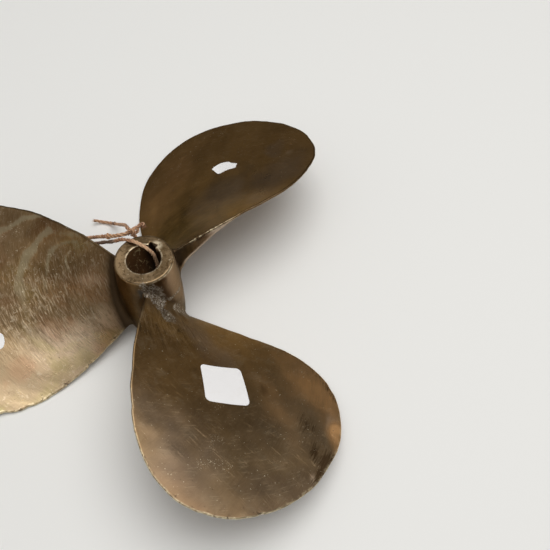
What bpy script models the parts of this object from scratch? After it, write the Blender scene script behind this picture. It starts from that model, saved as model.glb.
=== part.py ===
"""A three-bladed bronze boat propeller of left-hand pitch, lying on its blades.

The hub, its bore and the three blades are one casting. A loop of old twine runs
through the bore and over the rim, tied in a knot with two loose ends.

Frame: metres, +Z up. The shaft axis is the Z axis, the small (aft) end of the hub
is up, and the origin is on the axis in the plane that the blade edges rest on.
"""
import math

import bmesh
import bpy
import numpy as np
from mathutils import Vector

# Hub, a slightly barrelled taper
HUB_BOTTOM = 0.0078  # height of the large end above the resting plane
HUB_LENGTH = 0.054
HUB_TOP_RADIUS = 0.0168
HUB_MID_RADIUS = 0.0183
HUB_BOTTOM_RADIUS = 0.0176
HUB_CHAMFER = 0.0009
HUB_SIDES = 48
HUB_RINGS = 8

# Bore for a tapered shaft, with its keyway on the same side as the first blade
BORE_SMALL_DIAMETER = 0.0194
BORE_TAPER = 1 / 16  # change of diameter for each unit of length
BORE_CHAMFER = 0.0006
BORE_SIDES = 48
KEYWAY_WIDTH = 0.0046
KEYWAY_DEPTH = 0.0022

# Blade laws: values from the root to the tip
PROPELLER_RADIUS = 0.1522
BLADE_WIDTH = (0.0434, 0.0834, 0.1189, 0.1287)  # along the helix, at WIDTH_AT
WIDTH_AT = (0.0, 0.25, 0.5, 0.75)  # shares of the blade's span
TIP_CURVE_RADIUS = 0.1345  # radius of the outline at the very tip
PITCH = (0.220, 0.292, 0.3096)  # root, half span, tip
FACE_HEIGHT = (0.0354, 0.0317, 0.0272)  # driving face at mid width, from the resting plane
SWEEP = (0.0034, 0.0034, 0.0027, -0.0087)  # mid width ahead of the blade's own line
BLADE_ANGLES = (60.9, -61.45, -179.55)  # degrees about the axis; hand fitting left them uneven
ROOT_THICKNESS = 0.0098
TIP_THICKNESS = 0.0030
EDGE_THICKNESS = 0.0014
FACE_FILLET = 0.005
BACK_FILLET = 0.009
ROOT_SINK = 0.004  # how far a blade runs into the hub
BLADE_RINGS = 22
BLADE_COLUMNS = 10
TIP_START = 0.05  # square root of the share of the span where the tip is closed

# Twine
TWINE_DIAMETER = 0.0020
TWINE_STEP = 0.0052  # between the tube's rings
KNOT_CENTRE = (-0.0075, 0.0231, 0.0575)
KNOT_SIZE = (0.0084, 0.0062, 0.0058)
KNOT_TURN = -25  # degrees about the vertical
# Each route starts at the knot, and the loop's comes back to it
LOOP_ROUTE = (
    (-0.0086, 0.0219, 0.0545),
    (-0.0103, 0.0194, 0.0475),
    (-0.0113, 0.0172, 0.0400),
    (-0.0116, 0.0167, 0.0280),
    (-0.0116, 0.0167, 0.0160),
    (-0.0115, 0.0165, 0.0088),
    (-0.0104, 0.0149, 0.0036),
    (-0.0082, 0.0121, 0.0014),
    (-0.0058, 0.0093, 0.0020),
    (-0.0041, 0.0079, 0.0058),
    (-0.0028, 0.0083, 0.0120),
    (0.0002, 0.0084, 0.0220),
    (0.0032, 0.0078, 0.0350),
    (0.0051, 0.0066, 0.0450),
    (0.0052, 0.0060, 0.0520),
    (0.0046, 0.0058, 0.0570),
    (0.0031, 0.0061, 0.0612),
    (0.0005, 0.0068, 0.0632),
    (-0.0032, 0.0087, 0.0638),
    (-0.0073, 0.0111, 0.0641),
    (-0.0116, 0.0139, 0.0629),
    (-0.0165, 0.0184, 0.0564),
    (-0.0215, 0.0246, 0.0475),
    (-0.0274, 0.0310, 0.0390),
    (-0.0334, 0.0375, 0.0300),
    (-0.0389, 0.0430, 0.0220),
    (-0.0453, 0.0480, 0.0140),
    (-0.0525, 0.0500, 0.0070),
    (-0.0602, 0.0480, 0.0024),
    (-0.0660, 0.0410, 0.0012),
    (-0.0668, 0.0319, 0.0012),
    (-0.0665, 0.0230, 0.0012),
    (-0.0700, 0.0162, 0.0012),
    (-0.0762, 0.0168, 0.0012),
    (-0.0789, 0.0238, 0.0012),
    (-0.0785, 0.0340, 0.0012),
    (-0.0740, 0.0450, 0.0014),
    (-0.0668, 0.0520, 0.0040),
    (-0.0585, 0.0535, 0.0100),
    (-0.0508, 0.0505, 0.0180),
    (-0.0436, 0.0448, 0.0265),
    (-0.0372, 0.0384, 0.0350),
    (-0.0312, 0.0328, 0.0425),
    (-0.0249, 0.0278, 0.0490),
    (-0.0185, 0.0238, 0.0540),
    (-0.0123, 0.0221, 0.0569),
)
LONG_END_ROUTE = (
    (-0.0102, 0.0267, 0.0569),
    (-0.0120, 0.0320, 0.0522),
    (-0.0144, 0.0393, 0.0434),
    (-0.0172, 0.0477, 0.0330),
    (-0.0201, 0.0558, 0.0230),
    (-0.0230, 0.0630, 0.0140),
    (-0.0262, 0.0689, 0.0072),
    (-0.0295, 0.0729, 0.0032),
    (-0.0331, 0.0751, 0.0016),
    (-0.0366, 0.0762, 0.0014),
    (-0.0396, 0.0764, 0.0024),
    (-0.0420, 0.0760, 0.0040),
)
SHORT_END_ROUTE = (
    (-0.0039, 0.0238, 0.0588),
    (-0.0017, 0.0243, 0.0602),
    (-0.0010, 0.0246, 0.0616),
)

BRONZE = ((0.30, 0.21, 0.11), 0.42, 0.9)
FIBRE = ((0.42, 0.23, 0.13), 0.95, 0.0)


def clear_scene():
    for thing in list(bpy.data.objects):
        bpy.data.objects.remove(thing)


def finish(name, look):
    """A Principled material from (colour, roughness, metallic)."""
    colour, roughness, metallic = look
    made = bpy.data.materials.new(name)
    made.use_nodes = True
    shader = made.node_tree.nodes["Principled BSDF"]
    shader.inputs["Base Color"].default_value = (*colour, 1)
    shader.inputs["Roughness"].default_value = roughness
    shader.inputs["Metallic"].default_value = metallic
    return made


def add_object(name, data, material=None):
    made = bpy.data.objects.new(name, data)
    bpy.context.scene.collection.objects.link(made)
    if material:
        data.materials.append(material)
    return made


def mesh_from(name, points, faces):
    """A mesh whose faces all point outwards."""
    data = bpy.data.meshes.new(name)
    data.from_pydata([tuple(p) for p in points], [], faces)
    work = bmesh.new()
    work.from_mesh(data)
    bmesh.ops.recalc_face_normals(work, faces=work.faces)
    work.to_mesh(data)
    work.free()
    return data


def through(x, at, values):
    """The smooth polynomial through the values, read at x."""
    return np.polynomial.Polynomial.fit(at, values, len(at) - 1)(x)


def evenly(values):
    return np.linspace(0, 1, len(values))


def hub_radius(height):
    """A parabola through the large end, the middle and the small end."""
    share = (height - HUB_BOTTOM) / HUB_LENGTH
    return through(share, (0, 0.5, 1), (HUB_BOTTOM_RADIUS, HUB_MID_RADIUS, HUB_TOP_RADIUS))


def turned(name, profile, sides):
    """A closed solid of revolution from (radius, height) points, with flat ends."""
    angles = np.arange(sides) * math.tau / sides
    points = []
    for radius, height in profile:
        points += [(radius * math.cos(a), radius * math.sin(a), height) for a in angles]
    faces = []
    for ring in range(len(profile) - 1):
        for i in range(sides):
            j = (i + 1) % sides
            low, high = ring * sides, (ring + 1) * sides
            faces.append((low + i, low + j, high + j, high + i))
    faces.append(tuple(range(sides))[::-1])
    faces.append(tuple((len(profile) - 1) * sides + i for i in range(sides)))
    return mesh_from(name, points, faces)


def hub_profile():
    top = HUB_BOTTOM + HUB_LENGTH
    heights = np.linspace(HUB_BOTTOM + HUB_CHAMFER, top - HUB_CHAMFER, HUB_RINGS)
    sides = [(hub_radius(h), h) for h in heights]
    low = (HUB_BOTTOM_RADIUS - HUB_CHAMFER, HUB_BOTTOM)
    high = (HUB_TOP_RADIUS - HUB_CHAMFER, top)
    return [low, *sides, high]


def bore_radius(height):
    small = BORE_SMALL_DIAMETER / 2
    return small + (HUB_BOTTOM + HUB_LENGTH - height) * BORE_TAPER / 2


def bore_profile():
    """The bore's cutter: a taper that flares by its chamfer at both mouths."""
    top, past = HUB_BOTTOM + HUB_LENGTH, BORE_CHAMFER * 2
    levels = (HUB_BOTTOM - past, HUB_BOTTOM + BORE_CHAMFER, top - BORE_CHAMFER, top + past)
    flare = (BORE_CHAMFER * 3, 0, 0, BORE_CHAMFER * 3)
    return [(bore_radius(h) + f, h) for h, f in zip(levels, flare)]


def keyway_cutter():
    """A slot along the taper, on the first blade's side of the bore."""
    top, past = HUB_BOTTOM + HUB_LENGTH, BORE_CHAMFER * 4
    half = KEYWAY_WIDTH / 2
    corners = []
    for height in (HUB_BOTTOM - past, top + past):
        depth = bore_radius(height) + KEYWAY_DEPTH
        corners += [(0, -half, height), (depth, -half, height)]
        corners += [(depth, half, height), (0, half, height)]
    faces = [(0, 1, 2, 3), (4, 5, 6, 7), (0, 1, 5, 4), (1, 2, 6, 5), (2, 3, 7, 6), (3, 0, 4, 7)]
    turn = math.radians(BLADE_ANGLES[0])
    spun = [
        (x * math.cos(turn) - y * math.sin(turn), x * math.sin(turn) + y * math.cos(turn), z)
        for x, y, z in corners
    ]
    return mesh_from("keyway", spun, faces)


def blade_width(reach):
    """Width along the helix where reach is the square root of the span left to the tip."""
    span = PROPELLER_RADIUS - HUB_TOP_RADIUS
    at_tip = math.sqrt(8 * TIP_CURVE_RADIUS * span)
    reaches = [math.sqrt(1 - share) for share in WIDTH_AT]
    factors = [width / r for width, r in zip(BLADE_WIDTH, reaches)]
    return reach * through(reach, (*reaches, 0), (*factors, at_tip))


def blade_point(reach, across, rise):
    """Points of a blade whose sections are drawn on cylinders about the axis.

    reach runs from 1 at the root to 0 at the tip, and across from -0.5 at the high
    edge to 0.5 at the low edge. On its own cylinder, unrolled flat, a section is a
    straight driving face that slopes by the pitch, and rise is measured square to it.
    The blade's own line is the X axis.
    """
    share = 1 - reach**2
    radius = PROPELLER_RADIUS - (PROPELLER_RADIUS - HUB_TOP_RADIUS) * reach**2
    lead = through(share, evenly(PITCH), PITCH) / math.tau
    slant = np.hypot(radius, lead)
    along = through(share, evenly(SWEEP), SWEEP) + across * blade_width(reach)
    turn = (along + rise * lead / radius) / slant
    middle = through(share, evenly(FACE_HEIGHT), FACE_HEIGHT)
    height = middle + (rise * radius - along * lead) / slant
    return np.stack([radius * np.cos(turn), radius * np.sin(turn), height], axis=-1)


def fillet(distance, size):
    """How much a surface stands out at a distance from the hub: a quarter round, cut off early."""
    left = np.clip(size - np.maximum(distance, 0.12 * size), 0, size)
    return size - np.sqrt(size**2 - left**2)


def blade_mesh():
    """One blade along +X: a flat face, a rounded back and flared roots."""
    sunk = (PROPELLER_RADIUS - HUB_TOP_RADIUS + ROOT_SINK) / (PROPELLER_RADIUS - HUB_TOP_RADIUS)
    reach = np.linspace(math.sqrt(sunk), TIP_START, BLADE_RINGS)
    across = 0.5 * np.sin(np.linspace(-0.5, 0.5, BLADE_COLUMNS + 1) * math.pi)
    reach, across = np.meshgrid(reach, across, indexing="ij")
    face = blade_point(reach, across, 0)
    thickest = ROOT_THICKNESS + (TIP_THICKNESS - ROOT_THICKNESS) * (1 - reach**2)
    thickness = EDGE_THICKNESS + (thickest - EDGE_THICKNESS) * (1 - (2 * across) ** 2)
    distance = np.hypot(face[..., 0], face[..., 1]) - hub_radius(face[..., 2])
    front = blade_point(reach, across, fillet(distance, FACE_FILLET))
    back = blade_point(reach, across, -thickness - fillet(distance, BACK_FILLET))
    rings, columns = reach.shape
    points = np.concatenate([front, back[:, ::-1]], axis=1).reshape(-1, 3)
    around = 2 * columns
    faces = []
    for ring in range(rings - 1):
        for i in range(around):
            j = (i + 1) % around
            low, high = ring * around, (ring + 1) * around
            faces.append((low + i, low + j, high + j, high + i))
    for start in (0, (rings - 1) * around):
        for i in range(columns - 1):
            opposite = around - 1 - i
            faces.append((start + i, start + i + 1, start + opposite - 1, start + opposite))
    return mesh_from("blade", points, faces)


def tool(name, data, turn=0):
    """A body that only cuts or joins another, and isn't a piece itself."""
    made = add_object(name, data)
    made.rotation_euler.z = math.radians(turn)
    made.hide_render = True
    made.display_type = "WIRE"
    return made


def combine(target, other, operation):
    step = target.modifiers.new(other.name, "BOOLEAN")
    step.operation = operation
    step.object = other
    step.solver = "EXACT"


def casting(material):
    """Hub and blades as one piece of bronze, with the bore and keyway cut through."""
    hub = add_object("propeller_casting", turned("hub", hub_profile(), HUB_SIDES), material)
    blade = blade_mesh()
    for number, angle in enumerate(BLADE_ANGLES, 1):
        combine(hub, tool(f"blade_{number}", blade, angle), "UNION")
    combine(hub, tool("bore", turned("bore", bore_profile(), BORE_SIDES)), "DIFFERENCE")
    combine(hub, tool("keyway", keyway_cutter()), "DIFFERENCE")
    return hub


def smooth_route(points, step):
    """Evenly spaced points on the smooth curve through a route's own points."""
    knots = np.array(points, float)
    before = np.vstack([2 * knots[0] - knots[1], knots[:-1]])
    after = np.vstack([knots[1:], 2 * knots[-1] - knots[-2]])
    slope = (after - before) / 2
    dense = []
    for i in range(len(knots) - 1):
        t = np.linspace(0, 1, 40, endpoint=False)[:, None]
        dense.append(
            (2 * t**3 - 3 * t**2 + 1) * knots[i]
            + (t**3 - 2 * t**2 + t) * slope[i]
            + (3 * t**2 - 2 * t**3) * knots[i + 1]
            + (t**3 - t**2) * slope[i + 1]
        )
    dense = np.vstack([*dense, knots[-1:]])
    along = np.concatenate([[0], np.cumsum(np.linalg.norm(np.diff(dense, axis=0), axis=1))])
    at = np.linspace(0, along[-1], max(3, round(along[-1] / step) + 1))
    return np.stack([np.interp(at, along, dense[:, k]) for k in range(3)], axis=1)


def twine(name, route, material):
    """A round tube along a route, with closed ends."""
    curve = bpy.data.curves.new(name, "CURVE")
    curve.dimensions = "3D"
    curve.bevel_depth = TWINE_DIAMETER / 2
    curve.bevel_resolution = 2
    curve.use_fill_caps = True
    points = smooth_route(route, TWINE_STEP)
    spline = curve.splines.new("POLY")
    spline.points.add(len(points) - 1)
    for place, point in zip(spline.points, points):
        place.co = (*point, 1)
    return add_object(name, curve, material)


def knot(material):
    """The knot's lump, an egg that the twine's four ends meet."""
    work = bmesh.new()
    bmesh.ops.create_icosphere(work, subdivisions=2, radius=1)
    for vertex in work.verts:
        vertex.co = Vector(a * b / 2 for a, b in zip(vertex.co, KNOT_SIZE))
    data = bpy.data.meshes.new("twine_knot")
    work.to_mesh(data)
    work.free()
    made = add_object("twine_knot", data, material)
    made.location = KNOT_CENTRE
    made.rotation_euler.z = math.radians(KNOT_TURN)
    return made


def main():
    clear_scene()
    bronze, fibre = finish("bronze", BRONZE), finish("fibre", FIBRE)
    casting(bronze)
    knot(fibre)
    twine("twine_loop", LOOP_ROUTE, fibre)
    twine("twine_long_end", LONG_END_ROUTE, fibre)
    twine("twine_short_end", SHORT_END_ROUTE, fibre)


main()
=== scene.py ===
# %% [markdown]
# # A small bronze boat propeller
# The object is a three-bladed propeller for a small boat, cast in bronze in one piece and
# now lying on its blades, with a loop of old twine through its bore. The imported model
# holds its sizes. This file gives it its looks: the curved and worn surfaces of the
# casting, the twisted twine, and the paper labels that are stuck to the blades.
# Everything is in metres, with +Z along the shaft axis.

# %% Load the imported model
import math

import bpy
import numpy as np
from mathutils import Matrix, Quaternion, Vector


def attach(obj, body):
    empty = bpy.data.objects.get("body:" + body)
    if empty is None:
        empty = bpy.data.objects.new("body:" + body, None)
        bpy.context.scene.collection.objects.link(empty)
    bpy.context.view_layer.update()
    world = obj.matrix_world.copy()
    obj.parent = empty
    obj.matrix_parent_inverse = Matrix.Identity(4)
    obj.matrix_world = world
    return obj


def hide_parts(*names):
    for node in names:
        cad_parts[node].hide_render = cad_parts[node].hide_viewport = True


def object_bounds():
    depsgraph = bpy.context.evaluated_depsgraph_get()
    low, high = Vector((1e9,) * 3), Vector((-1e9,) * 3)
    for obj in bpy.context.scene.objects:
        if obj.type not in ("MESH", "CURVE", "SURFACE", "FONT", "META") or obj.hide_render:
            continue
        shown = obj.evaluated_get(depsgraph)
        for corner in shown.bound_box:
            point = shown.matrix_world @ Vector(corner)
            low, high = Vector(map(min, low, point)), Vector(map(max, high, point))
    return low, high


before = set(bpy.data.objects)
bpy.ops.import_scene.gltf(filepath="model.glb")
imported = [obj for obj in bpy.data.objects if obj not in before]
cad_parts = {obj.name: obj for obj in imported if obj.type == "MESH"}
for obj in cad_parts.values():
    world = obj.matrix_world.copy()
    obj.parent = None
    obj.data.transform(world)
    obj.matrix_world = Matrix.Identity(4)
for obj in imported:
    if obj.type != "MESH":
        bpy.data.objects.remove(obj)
cad_low, cad_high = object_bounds()
print("nodes:", sorted(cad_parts))
print("size in mm:", [round(side * 1000, 1) for side in cad_high - cad_low])

# %% [markdown]
# ## Camera
# A picture taken by hand from above is never quite level, so the camera has three facts
# to find: where it stands, what it aims at, and how much it leans. They could be set by
# eye, but here they came from fitting a pinhole camera to the outlines of the blades.
# The lens is then the only number left, in millimetres for a 36 mm wide sensor.

# %% Camera
CAMERA_PLACE = Vector((0.05943, -0.27101, 0.44195))
CAMERA_AIM = Vector((0.07456, 0.02285, 0.0))  # where its axis meets the resting plane
CAMERA_LEAN = -2.37  # degrees about its own axis
CAMERA_LENS = 54.27

camera = bpy.data.objects.new("camera", bpy.data.cameras.new("camera"))
bpy.context.scene.collection.objects.link(camera)
camera.data.lens = CAMERA_LENS
camera.data.clip_start = 0.01
camera.location = CAMERA_PLACE
camera.rotation_mode = "QUATERNION"
upright = (CAMERA_AIM - CAMERA_PLACE).to_track_quat("-Z", "Y")
camera.rotation_quaternion = upright @ Quaternion((0, 0, 1), math.radians(CAMERA_LEAN))
bpy.context.scene.camera = camera
to_hub = (CAMERA_PLACE - Vector((0, 0, cad_high.z))).length
print("camera to the hub's top, mm:", round(to_hub * 1000))

# %% [markdown]
# ## Surfaces from arrays
# Every new piece below is worked out with numpy. A grid of points is a table with one row
# for each ring of a tube or each circle about the axis. The faces between the points
# depend only on the table's size, so one helper makes them for all pieces, and another
# puts points and faces into a mesh.

# %% Mesh helpers
def between(rows, columns, around=False, along=False):
    """Four-cornered faces between neighbours in a grid. around joins the last column to
    the first one, and along joins the last row to the first one."""
    number = np.arange(rows * columns).reshape(rows, columns)
    number = np.hstack([number, number[:, :1]]) if around else number
    number = np.vstack([number, number[:1]]) if along else number
    corners = (number[:-1, :-1], number[:-1, 1:], number[1:, 1:], number[1:, :-1])
    return np.stack(corners, axis=-1).reshape(-1, 4)


def fan(ring, point):
    """Triangles from each side of a ring to one point."""
    return np.stack([np.full_like(ring, point), np.roll(ring, -1), ring], axis=-1)


def read(items, key, width=1, kind=np.float32):
    """One property of all vertices, corners or map entries."""
    values = np.zeros(len(items) * width, kind)
    items.foreach_get(key, values)
    return values.reshape(-1, width) if width > 1 else values


def add_piece(name, points, blocks, maps=(), sharp_above=40):
    """A mesh object, smooth but for edges sharper than an angle. blocks are tables of
    faces, and maps are pairs of a UV map's name and one pair of numbers for each point."""
    data = bpy.data.meshes.new(name)
    faces = [face for block in blocks for face in block.tolist()]
    data.from_pydata(np.reshape(points, (-1, 3)), [], faces)
    corner = read(data.loops, "vertex_index", kind=np.int32)
    for title, pairs in maps:
        layer = data.uv_layers.new(name=title)
        layer.uv.foreach_set("vector", np.reshape(pairs, (-1, 2))[corner].astype(np.float32).ravel())
    data.shade_smooth()
    data.set_sharp_from_angle(angle=math.radians(sharp_above))
    made = bpy.data.objects.new(name, data)
    bpy.context.scene.collection.objects.link(made)
    return made


def size_of(vectors):
    return np.linalg.norm(vectors, axis=-1)


def unit(vectors):
    return vectors / size_of(vectors)[..., None]


def turned_by(points, degrees):
    """Points turned about the Z axis."""
    c, s = math.cos(math.radians(degrees)), math.sin(math.radians(degrees))
    return points @ np.array([[c, s, 0], [-s, c, 0], [0, 0, 1]])


print("faces of a 3 by 4 grid:", len(between(3, 4)), "and of a tube:", len(between(3, 4, around=True)))

# %% [markdown]
# ## The twine's route
# Someone passed a length of twine up through the bore, over the rim of the hub, and tied
# it in a loop to hang the propeller by. Its route can't be simulated from nothing, since
# what it does out of sight is unknown, so it is a list of given points, with a smooth curve
# through them. Close points keep the bends round.

# %% Route of the twine
def metres(*points):
    """Points from their coordinates in millimetres."""
    return [tuple(round(value / 1000, 6) for value in point) for point in points]


# Each route starts at the knot, and the loop's comes back to it
LOOP_ROUTE = metres(
    (-5.5, 20.4, 56.6), (-6.4, 19.7, 52.0), (-8.6, 18.8, 46.5), (-10.7, 17.5, 40.0),
    (-11.6, 16.7, 28.0), (-11.6, 16.7, 16.0), (-11.5, 16.5, 8.8), (-10.4, 14.9, 3.6), (-8.2, 12.1, 1.4),
    (-5.8, 9.3, 2.0), (-4.1, 7.9, 5.8), (-2.8, 8.3, 12.0), (0.2, 8.4, 22.0), (3.6, 7.6, 35.0),
    (5.6, 6.4, 45.0), (5.6, 5.7, 52.0), (5.0, 5.6, 57.0), (3.7, 5.8, 60.5), (1.8, 6.5, 62.8),
    (-0.4, 7.9, 63.8), (-3.3, 9.9, 64.0), (-6.1, 11.6, 63.9), (-9.8, 13.7, 62.7), (-13.4, 16.3, 60.0),
    (-16.5, 18.4, 56.4), (-21.5, 24.6, 47.5), (-27.4, 31.0, 39.0), (-33.4, 37.5, 30.0),
    (-38.9, 43.0, 22.0), (-45.3, 48.0, 14.0), (-52.5, 50.0, 7.0), (-60.2, 48.0, 2.4),
    (-66.0, 41.0, 1.2), (-66.8, 31.9, 1.2), (-66.5, 23.0, 1.2), (-70.0, 16.2, 1.2), (-76.2, 16.8, 1.2),
    (-78.9, 23.8, 1.2), (-78.5, 34.0, 1.2), (-74.0, 45.0, 1.4), (-66.8, 52.0, 4.0), (-58.5, 53.5, 10.0),
    (-50.8, 50.5, 18.0), (-43.6, 44.8, 26.5), (-37.2, 38.4, 35.0), (-31.2, 32.8, 42.5),
    (-24.9, 27.8, 49.0), (-18.5, 23.8, 54.0), (-12.3, 22.1, 56.9), (-9.8, 22.5, 57.4),
)
LONG_END_ROUTE = metres(
    (-10.2, 26.7, 56.9), (-12.0, 32.0, 52.2), (-14.4, 39.3, 43.4), (-17.2, 47.7, 33.0),
    (-20.1, 55.8, 23.0), (-23.0, 63.0, 14.0), (-26.2, 68.9, 7.2), (-29.5, 72.9, 3.2),
    (-33.1, 75.1, 1.6), (-36.6, 76.2, 1.4), (-39.6, 76.4, 2.4), (-42.0, 76.0, 4.0),
)
SHORT_END_ROUTE = metres(
    (-3.6, 25.2, 58.8), (-2.4, 26.2, 59.1), (-1.1, 26.3, 59.0), (-0.5, 25.4, 58.6),
)


def distance_along(line):
    """The length of a line up to each of its points."""
    return np.concatenate([[0], np.cumsum(size_of(np.diff(line, axis=0)))])


def smooth_route(points, step):
    """Evenly spaced points on a smooth curve through a route's own points. Between two of
    them it is the cubic whose slope at each is half the way from the point before it to
    the point after it."""
    knots = np.array(points, float)
    before = np.vstack([2 * knots[0] - knots[1], knots[:-1]])
    after = np.vstack([knots[1:], 2 * knots[-1] - knots[-2]])
    slope = (after - before) / 2
    t = np.linspace(0, 1, 40, endpoint=False)[None, :, None]
    dense = (2 * t**3 - 3 * t**2 + 1) * knots[:-1, None] + (t**3 - 2 * t**2 + t) * slope[:-1, None]
    dense = dense + (3 * t**2 - 2 * t**3) * knots[1:, None] + (t**3 - t**2) * slope[1:, None]
    dense = np.vstack([dense.reshape(-1, 3), knots[-1:]])
    along = distance_along(dense)
    at = np.linspace(0, along[-1], max(3, round(along[-1] / step) + 1))
    return np.stack([np.interp(at, along, dense[:, k]) for k in range(3)], axis=1)


def step_of(line):
    return float(size_of(line[1] - line[0]))


def length_at(line, point):
    """How far along a line the place nearest to a point is."""
    return int(np.argmin(size_of(line - point))) * step_of(line)


for title, route in (("loop", LOOP_ROUTE), ("long end", LONG_END_ROUTE)):
    print(title, "is", round(distance_along(smooth_route(route, 0.001))[-1] * 1000), "mm long")

# %% [markdown]
# ## A twisted strand
# Twine is three yarns laid round each other. Three separate tubes would show it, but they
# would run through one another and each end would need its own cap. A section cut square
# through the twine is simpler: it is the outline of three touching circles. Carried along
# the route and turned as it goes, that outline gives the yarns and the valleys between
# them in one closed skin.

# %% Section and frame of the strand
YARNS = 3
YARN_RADIUS, YARN_OFFSET = 0.53, 0.47  # shares of the twine's radius
TWIST_LENGTH = 0.0088  # along the twine, for one full turn of its yarns


def yarn_outline(angle):
    """How far the outline of three touching circles lies from their common centre, as a
    share of the furthest. Measured from the middle of a yarn, it is offset times cosine
    plus the root of (yarn radius squared less the offset's sine squared)."""
    turn = (angle + math.pi / YARNS) % (math.tau / YARNS) - math.pi / YARNS
    return YARN_OFFSET * np.cos(turn) + np.sqrt(YARN_RADIUS**2 - (YARN_OFFSET * np.sin(turn)) ** 2)


def carried_frame(line):
    """Two directions square to a line at each of its points. The first is handed on from
    point to point and only made square again, so the pair doesn't twist on the way."""
    ahead = unit(np.gradient(line, axis=0))
    side = np.empty_like(line)
    side[0] = unit(np.cross(ahead[0], (0.31, 0.45, 0.84)))  # any direction but the line's own
    for i in range(1, len(line)):
        side[i] = unit(side[i - 1] - ahead[i] * (side[i - 1] @ ahead[i]))
    return side, np.cross(ahead, side)


def wander(along, strength, size, seed):
    """A smooth random signal along a line, about as strong as given, with bumps of a size."""
    chance = np.random.default_rng(seed)
    waves = chance.uniform(0.5, 1.6, 9)[:, None] * along / size
    waves = np.sin(math.tau * waves + chance.uniform(0, math.tau, 9)[:, None])
    return waves.mean(axis=0) * 2 * strength


print("outline from", round(yarn_outline(math.pi / 3), 2), "in a valley to", yarn_outline(0), "on a yarn")

# %% [markdown]
# ## Stray fibres
# Old plant fibre is never smooth: short ends stand out all along it. Hair particles would
# be quick, but they are not a mesh and would be lost when the model is exported. Each
# fibre here is a needle with three sides and a few bends, and all fibres of one strand
# are worked out together as one array of fibre, step, side and coordinate.

# %% Stray fibres
FIBRE_WIDTH = 0.00007
FIBRE_STEPS = 6
FIBRE_SIDES = 3
FIBRE_LENGTH = (0.0012, 0.0032)
FIBRE_REACH = (0.0004, 0.0014)  # how far a fibre stands off the strand
FIBRE_BEND = 0.0008
FIBRE_PAST_END = 0.0016  # how far one may run on past the strand


def stray_fibres(line, side, over, thick, count, seed, flare=0.0, swells=()):
    """Needles on the skin of a strand. A fibre starts at a random place and angle, runs
    along the strand and leaves it as the square of its own length. With flare, a share
    of the fibres is gathered at the strand's last point and runs on past it. Each swelling
    gathers a tenth of them."""
    chance = np.random.default_rng(seed)
    at = chance.uniform(0, len(line) - 1, count)
    for spot, _, spread in swells:
        near = chance.normal(spot, spread, count) / step_of(line)
        at = np.where(chance.random(count) < 0.1, np.clip(near, 0, len(line) - 2), at)
    ending = chance.random(count) < flare
    at = np.where(ending, len(line) - 1 - chance.uniform(0, 4, count), at)
    i = at.astype(int)
    ahead = unit(np.gradient(line, axis=0))[i]
    angle = chance.uniform(0, math.tau, count)[:, None]
    out = side[i] * np.cos(angle) + over[i] * np.sin(angle)
    across = np.cross(ahead, out)
    forward = np.where(ending | (chance.random(count) < 0.5), 1, -1)[:, None]
    left = np.where(forward[:, 0] > 0, len(line) - 1 - at, at) * step_of(line)
    long = np.minimum(chance.uniform(*FIBRE_LENGTH, count), left + FIBRE_PAST_END)[:, None]
    reach = chance.uniform(*FIBRE_REACH, count)[:, None]
    bend = chance.uniform(-FIBRE_BEND, FIBRE_BEND, (count, 1))
    t = np.linspace(0, 1, FIBRE_STEPS)[None, :, None]
    root = (line[i] + out * thick[i, None] * 0.4)[:, None]
    path = root + (ahead * forward * long)[:, None] * t
    path = path + (out * reach)[:, None] * t**2 + (across * bend)[:, None] * t**3
    turn = np.arange(FIBRE_SIDES) * math.tau / FIBRE_SIDES
    ring = out[:, None, None] * np.cos(turn)[:, None] + across[:, None, None] * np.sin(turn)[:, None]
    width = FIBRE_WIDTH / 2 * (1 - 0.85 * t[..., None])
    return path[:, :, None] + ring * width


def fibre_faces(count, first):
    """The sides and the two ends of the needles, whose points start at a number."""
    size = FIBRE_STEPS * FIBRE_SIDES
    start = (np.arange(count) * size)[:, None, None] + first
    ends = np.array([[0, 2, 1], [size - 3, size - 2, size - 1]])
    sides = between(FIBRE_STEPS, FIBRE_SIDES, around=True)
    return [(sides + start).reshape(-1, 4), (ends + start).reshape(-1, 3)]


print("a fibre has", 2 + len(between(FIBRE_STEPS, FIBRE_SIDES, around=True)), "faces")

# %% [markdown]
# ## Strands
# A strand is the outline, swept along its route, with a flat cap at each end and its
# fibres. Hand-made twine is uneven, so slow random signals change its thickness and the
# speed of its twist. Where it is frayed it is thicker and has more fibres.

# %% Strands with stray fibres
STRAND_RADIUS = 0.00112  # to the outside of its yarns
THIN_RADIUS = 0.00100
STRAND_SIDES = 24
STRAND_STEP = 0.00045
LOWEST = 0.00005  # nothing reaches into the table
# How strongly each of these wanders, and the length of one bump of it
THICKNESS_WANDER = (0.09, 0.009)
SECTION_WANDER = (0.07, 0.0025)
TWIST_WANDER = (0.8, 0.014)
# Frayed places, on the long end and on the loop
TAIL_LUMP, FRAYED = metres((-28.5, 71.6, 4.2), (-22.2, 26.4, 51.5))


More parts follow.
